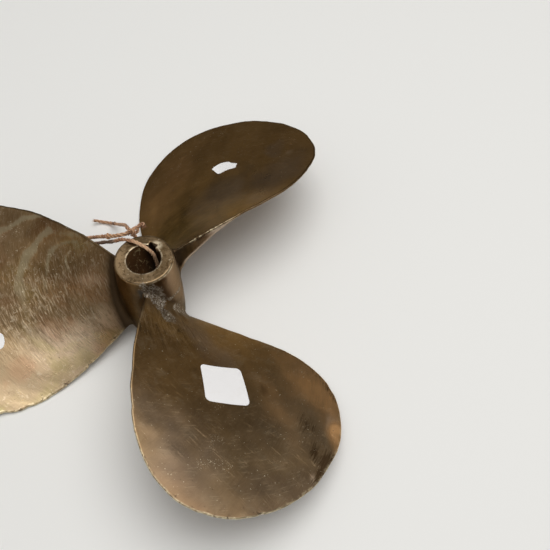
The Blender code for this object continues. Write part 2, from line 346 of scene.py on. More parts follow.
def strand(name, line, radius, seed, fibres, flare=0.0, swells=(), first=0.0):
    """A twisted strand and its stray fibres, as one mesh. The map named strand holds the
    length along it and the turn round it, from 0 to 1. swells are frayed places where it
    is thicker: distance along, the extra as a share of the radius, and half its length.
    The lengths in the map start at first, which tells the pieces apart."""
    side, over = carried_frame(line)
    along = distance_along(line)
    turn = np.linspace(0, math.tau, STRAND_SIDES, endpoint=False)
    thick = radius * (1 + wander(along, *THICKNESS_WANDER, seed))
    for spot, extra, spread in swells:
        thick = thick * (1 + extra * np.exp(-((along - spot) / spread) ** 2))
    outline = yarn_outline(turn) * thick[:, None]
    outline = outline * (1 + wander(along, *SECTION_WANDER, seed + 3)[:, None] * np.cos(2 * turn))
    spun = along * math.tau / TWIST_LENGTH + wander(along, *TWIST_WANDER, seed + 4)
    spun = turn + spun[:, None]
    skin = line[:, None] + side[:, None] * (np.cos(spun) * outline)[..., None]
    skin = skin + over[:, None] * (np.sin(spun) * outline)[..., None]
    hairs = stray_fibres(line, side, over, thick, fibres, seed + 1, flare, swells)
    points = np.vstack([skin.reshape(-1, 3), line[:1], line[-1:], hairs.reshape(-1, 3)])
    points[:, 2] = np.maximum(points[:, 2], LOWEST)
    rows = len(line)
    cap = rows * STRAND_SIDES
    ring = np.arange(STRAND_SIDES)
    blocks = [between(rows, STRAND_SIDES, around=True)[:, ::-1]]
    blocks += [fan(ring, cap), fan(ring[::-1] + cap - STRAND_SIDES, cap + 1), *fibre_faces(fibres, cap + 2)]
    pairs = np.stack(np.broadcast_arrays(along[:, None], turn / math.tau), axis=-1).reshape(-1, 2)
    hair_place = np.random.default_rng(seed + 2).uniform(0, along[-1], fibres)
    hair_place = np.repeat(hair_place, FIBRE_STEPS * FIBRE_SIDES)
    hair_pairs = np.stack([hair_place, np.full_like(hair_place, 0.1)], axis=-1)
    pairs = np.vstack([pairs, [[0, 0], [along[-1], 0]], hair_pairs]) + (first, 0)
    made = add_piece(name, points, blocks, [("strand", pairs)], sharp_above=75)
    print(name, "has", len(made.data.polygons), "faces and is", round(along[-1] * 1000), "mm long")
    return made


loop_line = smooth_route(LOOP_ROUTE, STRAND_STEP)
long_end_line = smooth_route(LONG_END_ROUTE, STRAND_STEP)
LOOP_SWELLS = (
    (length_at(loop_line, FRAYED), 0.40, 0.0014),
    (distance_along(loop_line)[-1] - 0.013, 0.16, 0.012),
)
TAIL_SWELLS = ((length_at(long_end_line, TAIL_LUMP), 0.42, 0.0016), (0.050, 0.15, 0.003))
loop = strand("loop", loop_line, STRAND_RADIUS, seed=11, fibres=1100, swells=LOOP_SWELLS)
long_end = strand("long_end", long_end_line, THIN_RADIUS, 21, 340, 0.2, TAIL_SWELLS, first=1)

# %% [markdown]
# ## The knot
# The knot is a plain one pulled tight: the twine of both ends is laid round once and
# drawn through. A simulation would never settle there, and a formula's knot is far too
# regular for a lump that someone's fingers made. So three short listed routes cross each
# other. Each strand begins and ends inside another one, where no end can be seen.

# %% Knot and short end
KNOT_RADIUS = 0.00116
KNOT_ROUTE = metres(  # from the loop's far end over the crossing to the short end
    (-10.6, 22.5, 57.4), (-9.0, 22.2, 58.5), (-7.3, 22.3, 59.6), (-5.8, 23.2, 59.8), (-4.4, 24.5, 59.2),
    (-3.4, 25.4, 58.8),
)
UNDER_ROUTE = metres(  # from the long end under the crossing to the loop's near end
    (-10.3, 26.9, 56.8), (-9.2, 25.0, 57.3), (-7.9, 23.0, 57.4), (-6.6, 21.4, 57.4), (-5.6, 20.3, 56.2),
)
WRAP_ROUTE = metres(  # once around the crossing, and back into the short end
    (-9.4, 22.2, 56.6), (-9.1, 21.9, 58.8), (-7.7, 21.9, 60.6), (-6.2, 21.3, 60.8), (-5.6, 20.4, 59.4),
    (-6.7, 20.6, 57.6), (-7.4, 22.0, 56.2), (-5.7, 22.9, 56.3), (-4.6, 22.8, 57.1), (-4.0, 23.5, 58.1),
    (-4.2, 24.4, 58.8),
)
knot, knot_under, knot_wrap, short_end = (
    strand(name, smooth_route(route, STRAND_STEP / 2), *looks, first=2)
    for name, route, *looks in (
        ("knot", KNOT_ROUTE, KNOT_RADIUS, 31, 200, 0.0, ((0.004, 0.18, 0.002),)),
        ("knot_under", UNDER_ROUTE, KNOT_RADIUS, 36, 120),
        ("knot_wrap", WRAP_ROUTE, THIN_RADIUS, 37, 200),
        ("short_end", SHORT_END_ROUTE, 0.00118, 41, 220, 0.7, ((0.0032, 0.38, 0.0013),)),
    )
)

TWINE_PIECES = (
    (loop, "twine_loop"),
    (long_end, "twine_long_end"),
    (knot, "twine_knot"),
    (knot_under, "twine_knot"),
    (knot_wrap, "twine_knot"),
    (short_end, "twine_short_end"),
)
for piece, node in TWINE_PIECES:
    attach(piece, "root")
    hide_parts(node)

# %% [markdown]
# ## The hub and its bore
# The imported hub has 48 flat sides. To look turned it needs more of them and soft arrises.
# One grid makes the whole hub without any cutting: its rows run up the outside, over the
# top, down the bore and back under the bottom, and its columns run around. Along the bore
# the columns follow a circle with a square notch in it, which is the keyway.

# %% Hub
HUB_BOTTOM = 0.0078
HUB_LENGTH = 0.054
HUB_TOP = HUB_BOTTOM + HUB_LENGTH
HUB_RADII = (0.0176, 0.0183, 0.0168)  # large end, middle, small end
HUB_ROUNDING = 0.0011
BORE_RADIUS = 0.0097  # at the small end
BORE_TAPER = 1 / 32  # change of radius for each unit of length
BORE_ROUNDING = 0.0006
KEYWAY_WIDTH = 0.0046
KEYWAY_DEPTH = 0.0022
WALL_MIDDLE = 0.0155  # a radius between the bore's wall and the outside
BLADE_ANGLES = (60.9, -61.45, -179.55)  # degrees about the axis: upper, lower, left blade
AROUND = 144


def through(x, at, values):
    """The smooth polynomial through the values, read at x."""
    return np.polynomial.Polynomial.fit(at, values, len(at) - 1)(x)


def hub_radius(height):
    return through((height - HUB_BOTTOM) / HUB_LENGTH, (0, 0.5, 1), HUB_RADII)


def outer_loop(radius, height):
    angle = np.arange(AROUND) * math.tau / AROUND
    return np.stack([radius * np.cos(angle), radius * np.sin(angle), height + 0 * angle], axis=-1)


def bore_loop(height, grown):
    """The bore with its keyway on +X at one height, grown outwards by a distance. It
    starts in the middle of the keyway's floor and has as many points as outer_loop."""
    radius = BORE_RADIUS + (HUB_TOP - height) * BORE_TAPER + grown
    half = KEYWAY_WIDTH / 2 + grown
    deep = radius + KEYWAY_DEPTH
    mouth = math.asin(half / radius)
    round_part = np.linspace(mouth, math.tau - mouth, AROUND - 15)
    side = np.linspace(deep, radius * math.cos(mouth), 4, endpoint=False)
    floor_part = np.linspace(0, half, 4, endpoint=False)
    x = [floor_part * 0 + deep, side, radius * np.cos(round_part), side[:0:-1], floor_part * 0 + deep]
    y = [floor_part, side * 0 + half, radius * np.sin(round_part), side[:0:-1] * 0 - half, floor_part - half]
    return np.stack([np.concatenate(x), np.concatenate(y), np.full(AROUND, height)], axis=-1)


def flat_rings(first, last, count):
    return [first + (last - first) * t for t in np.linspace(0, 1, count)[1:-1]]


def hub_rows():
    """Rings of points from the bottom of the outside round to it again. Each arris is a
    quarter circle, which leaves two sides by one less its cosine and one less its sine."""
    edge, lip = HUB_ROUNDING, BORE_ROUNDING
    quarter = np.linspace(0, math.pi / 2, 9)
    arris = list(zip(1 - np.cos(quarter), 1 - np.sin(quarter)))
    rows = [outer_loop(hub_radius(h), h) for h in np.linspace(HUB_BOTTOM + edge, HUB_TOP - edge, 46)]
    rows += [outer_loop(hub_radius(HUB_TOP) - edge * a, HUB_TOP - edge * b) for a, b in arris[1:]]
    rows += flat_rings(rows[-1], bore_loop(HUB_TOP, lip), 10)
    rows += [bore_loop(HUB_TOP - lip * a, lip * b) for a, b in arris]
    rows += [bore_loop(h, 0) for h in np.linspace(HUB_TOP - lip, HUB_BOTTOM + lip, 30)[1:-1]]
    rows += [bore_loop(HUB_BOTTOM + lip * b, lip * a) for a, b in arris]
    rows += flat_rings(rows[-1], outer_loop(hub_radius(HUB_BOTTOM) - edge, HUB_BOTTOM), 8)
    rows += [outer_loop(hub_radius(HUB_BOTTOM) - edge * b, HUB_BOTTOM + edge * a) for a, b in arris[:-1]]
    return np.array(rows)


def uneven(points, size, seed):
    """A smooth random signal in space, between about -1 and 1: the mean of a few plane
    waves of random direction, each about size long."""
    chance = np.random.default_rng(seed)
    waves = unit(chance.normal(size=(12, 3))) / (size * chance.uniform(0.6, 1.7, (12, 1)))
    return np.sin(math.tau * points @ waves.T + chance.uniform(0, math.tau, 12)).mean(axis=-1) * 2.5


hub_grid = turned_by(hub_rows(), BLADE_ANGLES[0])
outside = np.hypot(hub_grid[..., 0], hub_grid[..., 1]) > WALL_MIDDLE
hub_lumps = 0.00012 * uneven(hub_grid, 0.012, 5) + 0.00004 * uneven(hub_grid, 0.003, 6)
hub_grid = hub_grid + unit(hub_grid * (1, 1, 0)) * (hub_lumps * outside)[..., None]
print("hub:", hub_grid.shape[0], "rows of", hub_grid.shape[1], "points")

# %% [markdown]
# ## The blades' law
# A propeller blade is a piece of a screw surface. Its sections are drawn on cylinders
# about the shaft: unrolled flat, each one is a straight driving face that slopes by the
# pitch, with a rounded back. The pitch, the width and the place of the middle line change
# smoothly from root to tip, so a few numbers hold the whole shape.

# %% Blade law
TIP_RADIUS = 0.1522
ROOT_RADIUS = 0.0168
SPAN = TIP_RADIUS - ROOT_RADIUS
BLADE_WIDTH = (0.0434, 0.0834, 0.1189, 0.1287)  # along the helix, at WIDTH_AT
WIDTH_AT = (0.0, 0.25, 0.5, 0.75)  # shares of the span
TIP_CURVE_RADIUS = 0.1345
PITCH = (0.220, 0.292, 0.3096)
FACE_HEIGHT = (0.0354, 0.0317, 0.0272)
SWEEP = (0.0034, 0.0034, 0.0027, -0.0087)
ROOT_THICKNESS = 0.0098
TIP_THICKNESS = 0.0030
EDGE_RADIUS = 0.0007


def at_share(share, values):
    """Values given at even shares of the span, read at any share."""
    return through(share, np.linspace(0, 1, len(values)), values)


def blade_width(radius):
    """Width of a blade along its helix. The root of the span left to the tip times a
    polynomial gives it a round tip of the right curvature."""
    reach = np.sqrt(np.maximum(TIP_RADIUS - radius, 0) / SPAN)
    known = np.sqrt(1 - np.array(WIDTH_AT))
    factors = (*(np.array(BLADE_WIDTH) / known), math.sqrt(8 * TIP_CURVE_RADIUS * SPAN))
    return reach * through(reach, (*known, 0), factors)


def blade_place(radius, along, rise):
    """Points of a blade that lies along +X. along is the distance from the middle of the
    blade towards its low edge, and rise is measured square to the driving face."""
    share = (radius - ROOT_RADIUS) / SPAN
    lead = at_share(share, PITCH) / math.tau
    slant = np.hypot(radius, lead)
    along = along + at_share(share, SWEEP)
    turn = (along + rise * lead / radius) / slant
    height = at_share(share, FACE_HEIGHT) + (rise * radius - along * lead) / slant
    return np.stack([radius * np.cos(turn), radius * np.sin(turn), height], axis=-1)


widest = blade_width(np.linspace(ROOT_RADIUS, TIP_RADIUS, 200)).max()
print("widest in mm:", round(float(widest) * 1000, 1))

# %% [markdown]
# ## A blade's rim
# A blade's rim is not a sharp line: it is rounded, dented and a little wavy. All of that
# depends on how far a point is from the rim, so the distance is found first. The width
# gives a function F that is zero on the rim, and F divided by the length of its gradient
# is close to the distance. The same gradient points inwards, which is where a dent goes.

# %% Rim and relief
# Dents in the rims: blade, then in mm radius, distance along, depth and half width
DENTS = (
    (1, 150.3, -11.8, 1.1, 1.6), (1, 129.0, -56.0, 0.5, 3.0), (1, 118.0, 64.3, 0.6, 2.2),
    (1, 74.0, -51.0, 0.5, 1.5), (0, 149.3, 5.0, 0.6, 2.0), (0, 120.0, -63.5, 0.5, 1.8),
    (0, 85.0, 56.5, 0.7, 1.4), (2, 51.3, 43.0, 1.2, 1.3), (2, 81.0, 56.0, 1.0, 2.0),
    (2, 94.1, 61.0, 1.4, 1.8), (2, 106.6, 64.0, 1.2, 2.4), (2, 118.0, 64.0, 0.8, 1.6),
    (2, 148.0, 12.0, 0.7, 2.2),
)
# Lumps of old brazing at the lower blade's root, in mm: radius, along, height, half width
LUMPS = (
    (21.5, -15.0, 0.7, 3.0), (23.2, -6.0, 0.9, 3.4), (22.2, 3.0, 0.6, 2.8), (26.2, -10.5, 0.5, 2.6),
    (24.5, 10.5, 0.6, 3.0), (28.5, -1.0, 0.4, 2.4),
)


def smooth_step(x, low, high):
    t = np.clip((x - low) / (high - low), 0, 1)
    return t * t * (3 - 2 * t)


def round_in(distance, size):
    """How far a fillet stands out at a distance from the hub: a quarter circle, which is
    cut a little before it would run along the hub's wall."""
    left = np.clip(size - np.maximum(distance, 0.01 * size), 0, size)
    return size - np.sqrt(size**2 - left**2)


def mound(radius, along, shape):
    """A round bump, as the bell curve of the distance from its middle."""
    place, offset, tall, wide = (value / 1000 for value in shape)
    return tall * np.exp(-((radius - place) ** 2 + (along - offset) ** 2) / wide**2)


def face_wave(flat, number):
    """How far a cast blade is out of its true shape, at (radius, along, blade number)."""
    wave = uneven(flat, 0.045, 60 + number) * 0.00035 + uneven(flat, 0.014, 70 + number) * 0.00008
    return wave * smooth_step(flat[..., 0], ROOT_RADIUS, ROOT_RADIUS + 0.03)


def rim_distance(radius, along, small=0.0001):
    """Distance from the blade's rim, and the two parts of the direction inwards. F is a
    quarter of the width squared, less the distance along squared."""
    squared = blade_width(radius) ** 2
    out = (squared - blade_width(radius - small) ** 2) / (4 * small)
    side = -2 * along
    steep = np.maximum(np.hypot(out, side), 1e-6)
    return np.maximum(squared / 4 - along**2, 0) / steep, out / steep, side / steep


print("rim at half radius, mm:", round(float(rim_distance(0.076, 0.0)[0]) * 1000, 1))

# %% [markdown]
# ## The blades' skin
# Front and back of a blade are two sheets over the same grid. Its rows lie close together
# at the hub, where a fillet turns the skin into the hub's wall, and its columns lie close
# together at the rims. Both sheets are then one tube around the blade, closed at the tip.

# %% Blade grids
ROWS_OUT = 100
COLUMNS = 84
SUNK = (-0.0013, -0.0006)  # rows inside the hub, so that blade and hub overlap
ROOT_ROWS = 0.009  # the width of the part with close rows
FOLLOWING = 0.045  # from here outwards the rows are true circles
WAVY_RIM = 0.004
BACK_WIDTH = 0.012  # the back's roundness is fully grown where a blade is much wider
FACE_FILLET = 0.005
BACK_FILLET = 0.009
RIM_FILLET = 0.0025
BLUNT = 0.0055  # the upper blade's high edge is left thick at its root
BLUNT_LENGTH = 0.046


def blade_sheets(number):
    """Front and back of one blade, and each point's distance from the rim."""
    near = ROOT_ROWS * np.linspace(0.09, 1, 18) ** 2
    outer = np.linspace(math.sqrt((SPAN - ROOT_ROWS) / SPAN), 0, ROWS_OUT + 1)[1:-1]
    rows = np.concatenate([SUNK, near, SPAN * (1 - outer**2)])[::-1, None]
    share = 0.5 * np.sin(np.linspace(-0.5, 0.5, COLUMNS) * math.pi)
    radius = ROOT_RADIUS + rows + 0 * share
    for _ in range(5):  # near the root each row keeps its distance from the hub's wall
        height = blade_place(radius, share * blade_width(radius), 0)[..., 2]
        follow = 1 - smooth_step(rows, ROOT_ROWS, FOLLOWING)
        radius = ROOT_RADIUS + rows + (hub_radius(height) - ROOT_RADIUS) * follow
    along = share * blade_width(radius)
    rim, inward_out, inward_side = rim_distance(radius, along)
    # Dents and a slight waviness move points near the rim inwards
    flat = np.stack([radius, along, np.full_like(along, number)], axis=-1)
    push = sum((mound(radius, along, shape) for blade, *shape in DENTS if blade == number), 0 * rim)
    push += 0.00035 * (uneven(flat, 0.02, 50) + 0.4 * uneven(flat, 0.006, 51)) * np.exp(-rim / WAVY_RIM)
    push *= smooth_step(rows, 0.004, 0.02)
    radius, along = radius + push * inward_out, along + push * inward_side
    # Half round rim, rounded back and fillets
    left = EDGE_RADIUS - np.minimum(rim, EDGE_RADIUS)
    side = np.sign(share) * left / EDGE_RADIUS
    up = np.sqrt(1 - side**2)
    half = blade_width(radius) / 2
    bulge = (1 - (2 * share) ** 2) * half**2 / (half**2 + BACK_WIDTH**2)
    thickest = ROOT_THICKNESS + (TIP_THICKNESS - ROOT_THICKNESS) * (radius - ROOT_RADIUS) / SPAN
    wave = face_wave(flat, number)
    lump = sum((mound(radius, along, shape) for shape in LUMPS if number == 1), 0 * rim)
    along = along + side * round_in(rows, RIM_FILLET)
    front = EDGE_RADIUS * (up - 1) + up * round_in(rows, FACE_FILLET) + wave + lump
    back_fillet = BACK_FILLET * (1 - 0.65 * (2 * share) ** 4)
    blunt = BLUNT * np.clip(1 - rows / BLUNT_LENGTH, 0, 1) * smooth_step(rim, 0, 0.003)
    blunt = blunt * smooth_step(-share, 0.10, 0.42) * smooth_step(rows, -0.001, 0.004) * (number == 0)
    back = wave - EDGE_RADIUS * (1 + up) - (thickest - 2 * EDGE_RADIUS) * bulge
    back = back - blunt - up * round_in(rows, back_fillet)
    sheets = [turned_by(blade_place(radius, along, rise), BLADE_ANGLES[number]) for rise in (front, back)]
    return sheets, rim, np.stack([along, radius], axis=-1)


def blade_piece(number):
    """One tube around front and back, a point at the tip, and strips over its end inside
    the hub, where a sliver at the low edge stays open. Its maps hold (distance from the
    rim, blade number) and (along, radius)."""
    (front, back), rim, flat = blade_sheets(number)
    skin, rim, flat = (
        np.concatenate([one, other[:, -2:0:-1]], axis=1)
        for one, other in ((front, back), (rim, rim), (flat, flat))
    )
    rows, around = rim.shape
    tip = turned_by(blade_place(TIP_RADIUS, 0.0, -EDGE_RADIUS), BLADE_ANGLES[number])
    top = rows * around
    above = top - around + np.arange(COLUMNS)
    below = top - around + (around - np.arange(COLUMNS)) % around
    strips = np.stack([above[:-1], above[1:], below[1:], below[:-1]], axis=-1)
    blocks = [between(rows, around, around=True), fan(np.arange(around), top)]
    blocks += [strips[:1, 1:], strips[1:-1], strips[-1:, :3]]
    edge = np.stack([rim, np.full_like(rim, number)], axis=-1)
    maps = [
        ("edge", np.vstack([edge.reshape(-1, 2), [[0, number]]])),
        ("blade", np.vstack([flat.reshape(-1, 2), [[0, TIP_RADIUS]]])),
    ]
    return add_piece(f"blade_{number}", np.vstack([skin.reshape(-1, 3), tip]), blocks, maps)


def gap_to_roots(points):
    """Distance from points of the hub to the nearest blade's root."""
    share = np.linspace(-0.5, 0.5, 40)
    rise = np.array([[0.0], [-ROOT_THICKNESS]]) * (1 - (2 * share) ** 2)
    root = blade_place(ROOT_RADIUS, share * blade_width(ROOT_RADIUS), rise).reshape(-1, 3)
    roots = np.vstack([turned_by(root, angle) for angle in BLADE_ANGLES])
    return size_of(points[:, None] - roots).min(axis=1)


# In the hub's maps the blade number is 3, and the radius stands for the gap to a root
FAR_FROM_ROOTS = 0.05
hub_points = hub_grid.reshape(-1, 3)
hub_faces = between(hub_grid.shape[0], AROUND, around=True, along=True)
hub_gap = np.where(outside.ravel(), gap_to_roots(hub_points), FAR_FROM_ROOTS)
hub_maps = [
    ("edge", np.tile([1.0, 3.0], (len(hub_points), 1))),
    ("blade", np.column_stack([0 * hub_gap, ROOT_RADIUS + hub_gap])),
]
casting = add_piece("casting", hub_points, [hub_faces], hub_maps)
blades = [blade_piece(number) for number in range(3)]
print("each blade:", len(blades[0].data.polygons), "faces")

# %% [markdown]
# ## One casting
# The hub and the blades overlap, and they could simply be left that way. But they are one
# piece of metal, and where the skins cross the shading would break in a hard line. A
# Boolean union gives one closed skin. It is worked out here, once, so that the piece has
# no modifier left.

# %% Union of hub and blades
for blade in blades:
    join = casting.modifiers.new(blade.name, "BOOLEAN")
    join.operation = "UNION"
    join.solver = "EXACT"
    join.object = blade
whole = bpy.data.meshes.new_from_object(casting.evaluated_get(bpy.context.evaluated_depsgraph_get()))
casting.modifiers.clear()
casting.data = whole
for blade in blades:
    bpy.data.objects.remove(blade)
whole.shade_smooth()
whole.set_sharp_from_angle(angle=math.radians(40))
edge_uses = np.bincount(read(whole.loops, "edge_index", kind=np.int32), minlength=len(whole.edges))
whole.calc_loop_triangles()
print("casting:", len(whole.loop_triangles), "triangles")
print("edges not shared by two faces:", int((edge_uses != 2).sum()))
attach(casting, "root")
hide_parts("propeller_casting")

# %% [markdown]
# ## Places of stains and painted light
# A worn part is darker in some places and rubbed in others, and has copper patches. But
# some ovals are painted light: painted shade at the roots and on the lower blade's high
# side near its tip, and painted reflections of the table, pale on the left blade's low side
# and copper and pale on the lower blade's low side near its tip.
# Noise alone never puts them where they belong. So a short list names them, each as an
# oval on a blade. The numbers are a blade, then in mm the radius and the distance along
# of the oval's middle and its half sizes out and along, and last its strength.

# %% Places of stains and painted light
# Dark stains, and painted shade at the roots and on the lower blade's high side
DARK_STAINS_AND_SHADE = (
    (0, 38, 0, 52, 60, 1.0), (0, 66, -16, 44, 40, 0.7), (1, 38, -8, 18, 22, 0.6),
    (1, 108, -14, 36, 36, 0.42), (1, 142, -10, 20, 48, 0.52), (1, 124, -45, 30, 18, 0.5),
    (1, 94, -48, 18, 9, 0.45), (1, 137, 29, 14, 10, 0.25), (1, 91, 20, 3.5, 3.5, 0.7),
    (2, 41, -22, 9, 7, 0.45), (2, 58, -20, 14, 12, 0.5), (2, 60, 4, 14, 10, 0.4),
    (2, 86, -2, 22, 20, 0.45), (2, 66, -46, 22, 10, 0.75), (2, 78, -44, 8, 5, 0.7),
    (2, 42, -19, 5, 7, 0.5), (2, 92, -56, 16, 9, 0.35), (2, 45, 10, 12, 8, 0.25),
)
# Pale stains, and painted reflections of the table on the low sides of the left and lower blades
PALE_STAINS_AND_REFLECTION = (
    (0, 128, -37, 4, 3, 0.25), (0, 86, -24, 10, 7, 0.12), (1, 96, -50, 34, 14, 0.12),
    (1, 146, 21, 4, 3, 0.6), (1, 135, 49, 7, 6, 1.0), (2, 48, 32, 36, 19, 1.0),
    (2, 31, 19, 15, 12, 0.7), (2, 90, 44, 28, 16, 0.15), (2, 45, 29, 18, 12, 1.0),
    (2, 34, -12, 10, 6, 0.3),
)
# Copper stains, and a painted copper reflection near the lower blade's low rim
COPPER_STAINS_AND_REFLECTION = (
    (0, 92, 42, 44, 18, 0.28), (1, 140, 50, 12, 10, 1.0), (1, 112, 54, 30, 18, 0.82),
    (1, 104, 22, 22, 12, 0.25), (1, 138, -50, 24, 14, 0.12), (2, 52, -44, 30, 14, 0.12),
)
# A thin grey bloom that dulls the brown
GREY_STAINS = (
    (0, 74, -18, 30, 24, 0.8), (0, 100, -46, 34, 18, 1.0), (0, 126, -28, 9, 6, 0.8),
    (0, 48, -32, 20, 12, 0.5), (1, 42, 8, 22, 12, 0.9), (1, 60, 8, 20, 14, 0.8),
    (1, 118, -46, 40, 20, 0.6), (1, 146, 0, 14, 44, 0.35), (2, 70, 21, 14, 10, 0.5),
)
# On the lower blade the film is torn in streaks
STREAKED = (
    (1, 145, 34, 7, 7, 1.0), (1, 148, 26, 6, 7, 1.0), (1, 137, 29, 7, 5, 0.8), (1, 122, 32, 12, 8, 0.3),
    (1, 116, 63, 22, 3, 0.45),
)
print("stains:", [len(listed) for listed in (DARK_STAINS_AND_SHADE, PALE_STAINS_AND_REFLECTION, COPPER_STAINS_AND_REFLECTION, GREY_STAINS)])

# %% [markdown]
# ## Old coat, painted gap shadow and brazing
# Thin lines of an old coat are left on the left blade, and a route with a width says more
# about such a line than ovals could. A painted shadow runs down the hub's wall as a dark
# line, along a gap beside the silvery brazing, which is a row of drops in space.

# %% Places of the old coat, the painted gap shadow and the brazing
# Lines of the coat: points as radius and along in mm, half width, strength
COAT_LINES = (
    (((96, -44), (92, -48), (87, -51), (81, -53), (72, -53)), 2.4, 0.85),
    (((64, -43), (68, -39), (71, -35), (74, -28), (76, -20), (77, -14), (76, -6), (73, 4)), 3.4, 1.0),
    (((44, -36), (51, -39), (57, -41), (64, -43)), 1.8, 0.6),
    (((45, -33), (51, -34), (56, -33), (60, -28), (61, -22), (62, -16), (62, -5)), 2.0, 0.75),
    (((37, -31), (43, -30), (48, -28), (51, -23), (50, -16)), 1.9, 0.65),
    (((36, -27), (41, -27), (45, -23)), 1.6, 0.5),
)
# A painted shadow line along the gap beside the brazing
GAP_SHADOW_LINE = metres(
    (-3.3, -17.3, 55.0), (-2.8, -17.4, 50.8), (-2.3, -17.5, 46.5), (-1.8, -17.5, 42.2),
    (-1.3, -17.6, 36.0),
)
# Drops of brazing: x, y, z, size (mm), strength
BRAZING = (
    (-0.1, -17.0, 60.0, 2.2, 0.7), (1.4, -17.2, 57.0, 3.2, 0.9), (3.8, -16.8, 58.0, 2.6, 0.4),
    (3.2, -17.0, 54.5, 4.0, 1.0), (6.4, -16.5, 52.0, 3.6, 0.9), (5.0, -17.6, 48.5, 4.2, 1.0),
    (8.3, -17.6, 43.0, 3.6, 0.9), (7.6, -21.0, 43.0, 4.0, 0.9), (9.7, -24.5, 40.2, 4.4, 1.0),
    (12.6, -24.5, 36.5, 3.4, 0.7), (12.1, -13.6, 39.7, 1.7, 0.9), (13.8, -11.6, 39.0, 1.4, 0.9),
    (15.5, -9.6, 38.3, 1.4, 0.9), (16.6, -7.8, 38.1, 1.3, 0.8), (17.2, -6.2, 37.9, 1.3, 0.7),
    (14.2, -14.6, 30.0, 2.4, 0.7), (15.1, -11.5, 25.7, 3.0, 1.0), (17.2, -9.8, 18.1, 2.8, 1.0),
    (19.7, -10.2, 13.8, 2.4, 0.9),
)
print("crack in mm:", round(distance_along(np.array(GAP_SHADOW_LINE))[-1] * 1000), "and drops:", len(BRAZING))

# %% [markdown]
# ## Strengths on the mesh
# A list is no use to a material, so its effect is worked out at each point of the casting
# and stored there. Three attributes hold three strengths each. The point's place is first
# shifted by a random signal, so that no oval and no drawn line can be seen.

# %% Strengths on the mesh
def corner_values(title):
    """The pairs of a UV map of the casting, one for each vertex."""
    values = np.zeros((len(whole.vertices), 2))
    values[read(whole.loops, "vertex_index", kind=np.int32)] = read(whole.uv_layers[title].uv, "vector", 2)
    return values


def in_ovals(place, number, listed):
    """How strongly each point lies in the listed ovals. An oval fades from its middle to a
    little past its outline, and where ovals overlap the strongest one counts."""
    strongest = np.zeros(len(place))
    for blade, out, aside, long, wide, strength in listed:
        far = size_of((place * 1000 - (aside, out)) / (wide, long))
        shown = strength * (1 - smooth_step(far, 0.15, 1.30)) * (np.abs(number - blade) < 0.5)
        strongest = np.maximum(strongest, shown)
    return strongest


def lined(place, lines):
    """How much of the old coat is left at each point: all of it on a line through the
    given points, and none further off than a little over the half width."""
    strongest = np.zeros(len(place))
    for given, wide, strength in lines:
        line = smooth_route(np.column_stack([given, np.zeros(len(given))]) / 1000, 0.001)
        far = size_of(place[:, None] - line[:, 1::-1]).min(axis=1)
        strongest = np.maximum(strongest, strength * (1 - smooth_step(far * 1000 / wide, 0.2, 1.5)))
    return strongest


def store(title, *three):
    layer = whole.attributes.new(title, "FLOAT_VECTOR", "POINT")
    layer.data.foreach_set("vector", np.stack(three, axis=-1).astype(np.float32).ravel())


spots = read(whole.vertices, "co", 3).astype(float)
flat_place = corner_values("blade")
blade_number = corner_values("edge")[:, 1]
shifts = [0.0060 * uneven(spots, 0.030, seed) + 0.0016 * uneven(spots, 0.008, seed + 1) for seed in (83, 81)]
moved = flat_place + np.stack(shifts, axis=-1)
dark_part, pale_part, copper_part, grey_part = (
    in_ovals(moved, blade_number, listed)
    for listed in (DARK_STAINS_AND_SHADE, PALE_STAINS_AND_REFLECTION, COPPER_STAINS_AND_REFLECTION, GREY_STAINS)
)
near = flat_place + 0.0012 * np.stack([uneven(spots, 0.012, seed) for seed in (86, 85)], axis=-1)
coat = np.zeros(len(spots))
on_left = (blade_number == 2) & (flat_place[:, 0] < 0.01)
coat[on_left] = lined(near[on_left], COAT_LINES)
streaks = in_ovals(near, blade_number, STREAKED)
below = smooth_step(-read(whole.vertices, "normal", 3)[:, 2], -0.20, 0.20)
brazing = np.zeros(len(spots))
for *middle, size, strength in BRAZING:
    far = size_of(spots * 1000 - middle) / (size * 1.15)
    brazing = np.maximum(brazing, strength * (1 - smooth_step(far, 0.2, 1.5)))
# The painted shadow of the gap beside the brazing, as a dark line down the hub's wall
near_spots = spots + 0.0005 * uneven(spots, 0.005, 87)[:, None]
far = size_of(near_spots[:, None] - smooth_route(GAP_SHADOW_LINE, 0.0004)).min(axis=1)
gap_shadow = 1 - smooth_step(far, 0.0005, 0.0017)
# Stains together with painted shade and painted reflections, from the lists above
store("stains", dark_part, pale_part, copper_part)
store("marks", coat, streaks, below)
store("repairs", brazing, gap_shadow, grey_part)
print("crack on", int((gap_shadow > 0.3).sum()), "points")
shares = [(part > 0.1).mean() for part in (dark_part, pale_part, copper_part, grey_part)]
print("stained share:", [round(float(share), 2) for share in shares])

# %% [markdown]
# ## Paper on the blades
# A square sticker is on the lower blade, and torn scraps of older ones are left on the
# other two. They carry no print. A flat plane would sink into the curved face, so each
# one is made in the blade's own coordinates, distance along and radius, and then placed
# by the same law as the blade, less than a tenth of a millimetre above it.

# %% Labels
PAPER_LIFT = 0.00006
PAPER_THICK = 0.00016
LABEL_SIDE = 0.0256
LABEL_CORNER = 0.0029
LABEL_PLACE = (0.0780, -0.0002)  # radius and distance along, at its middle
LABEL_TURN = 25  # degrees, from the direction in which along grows
TEAR = 0.00010  # roughness of a torn edge
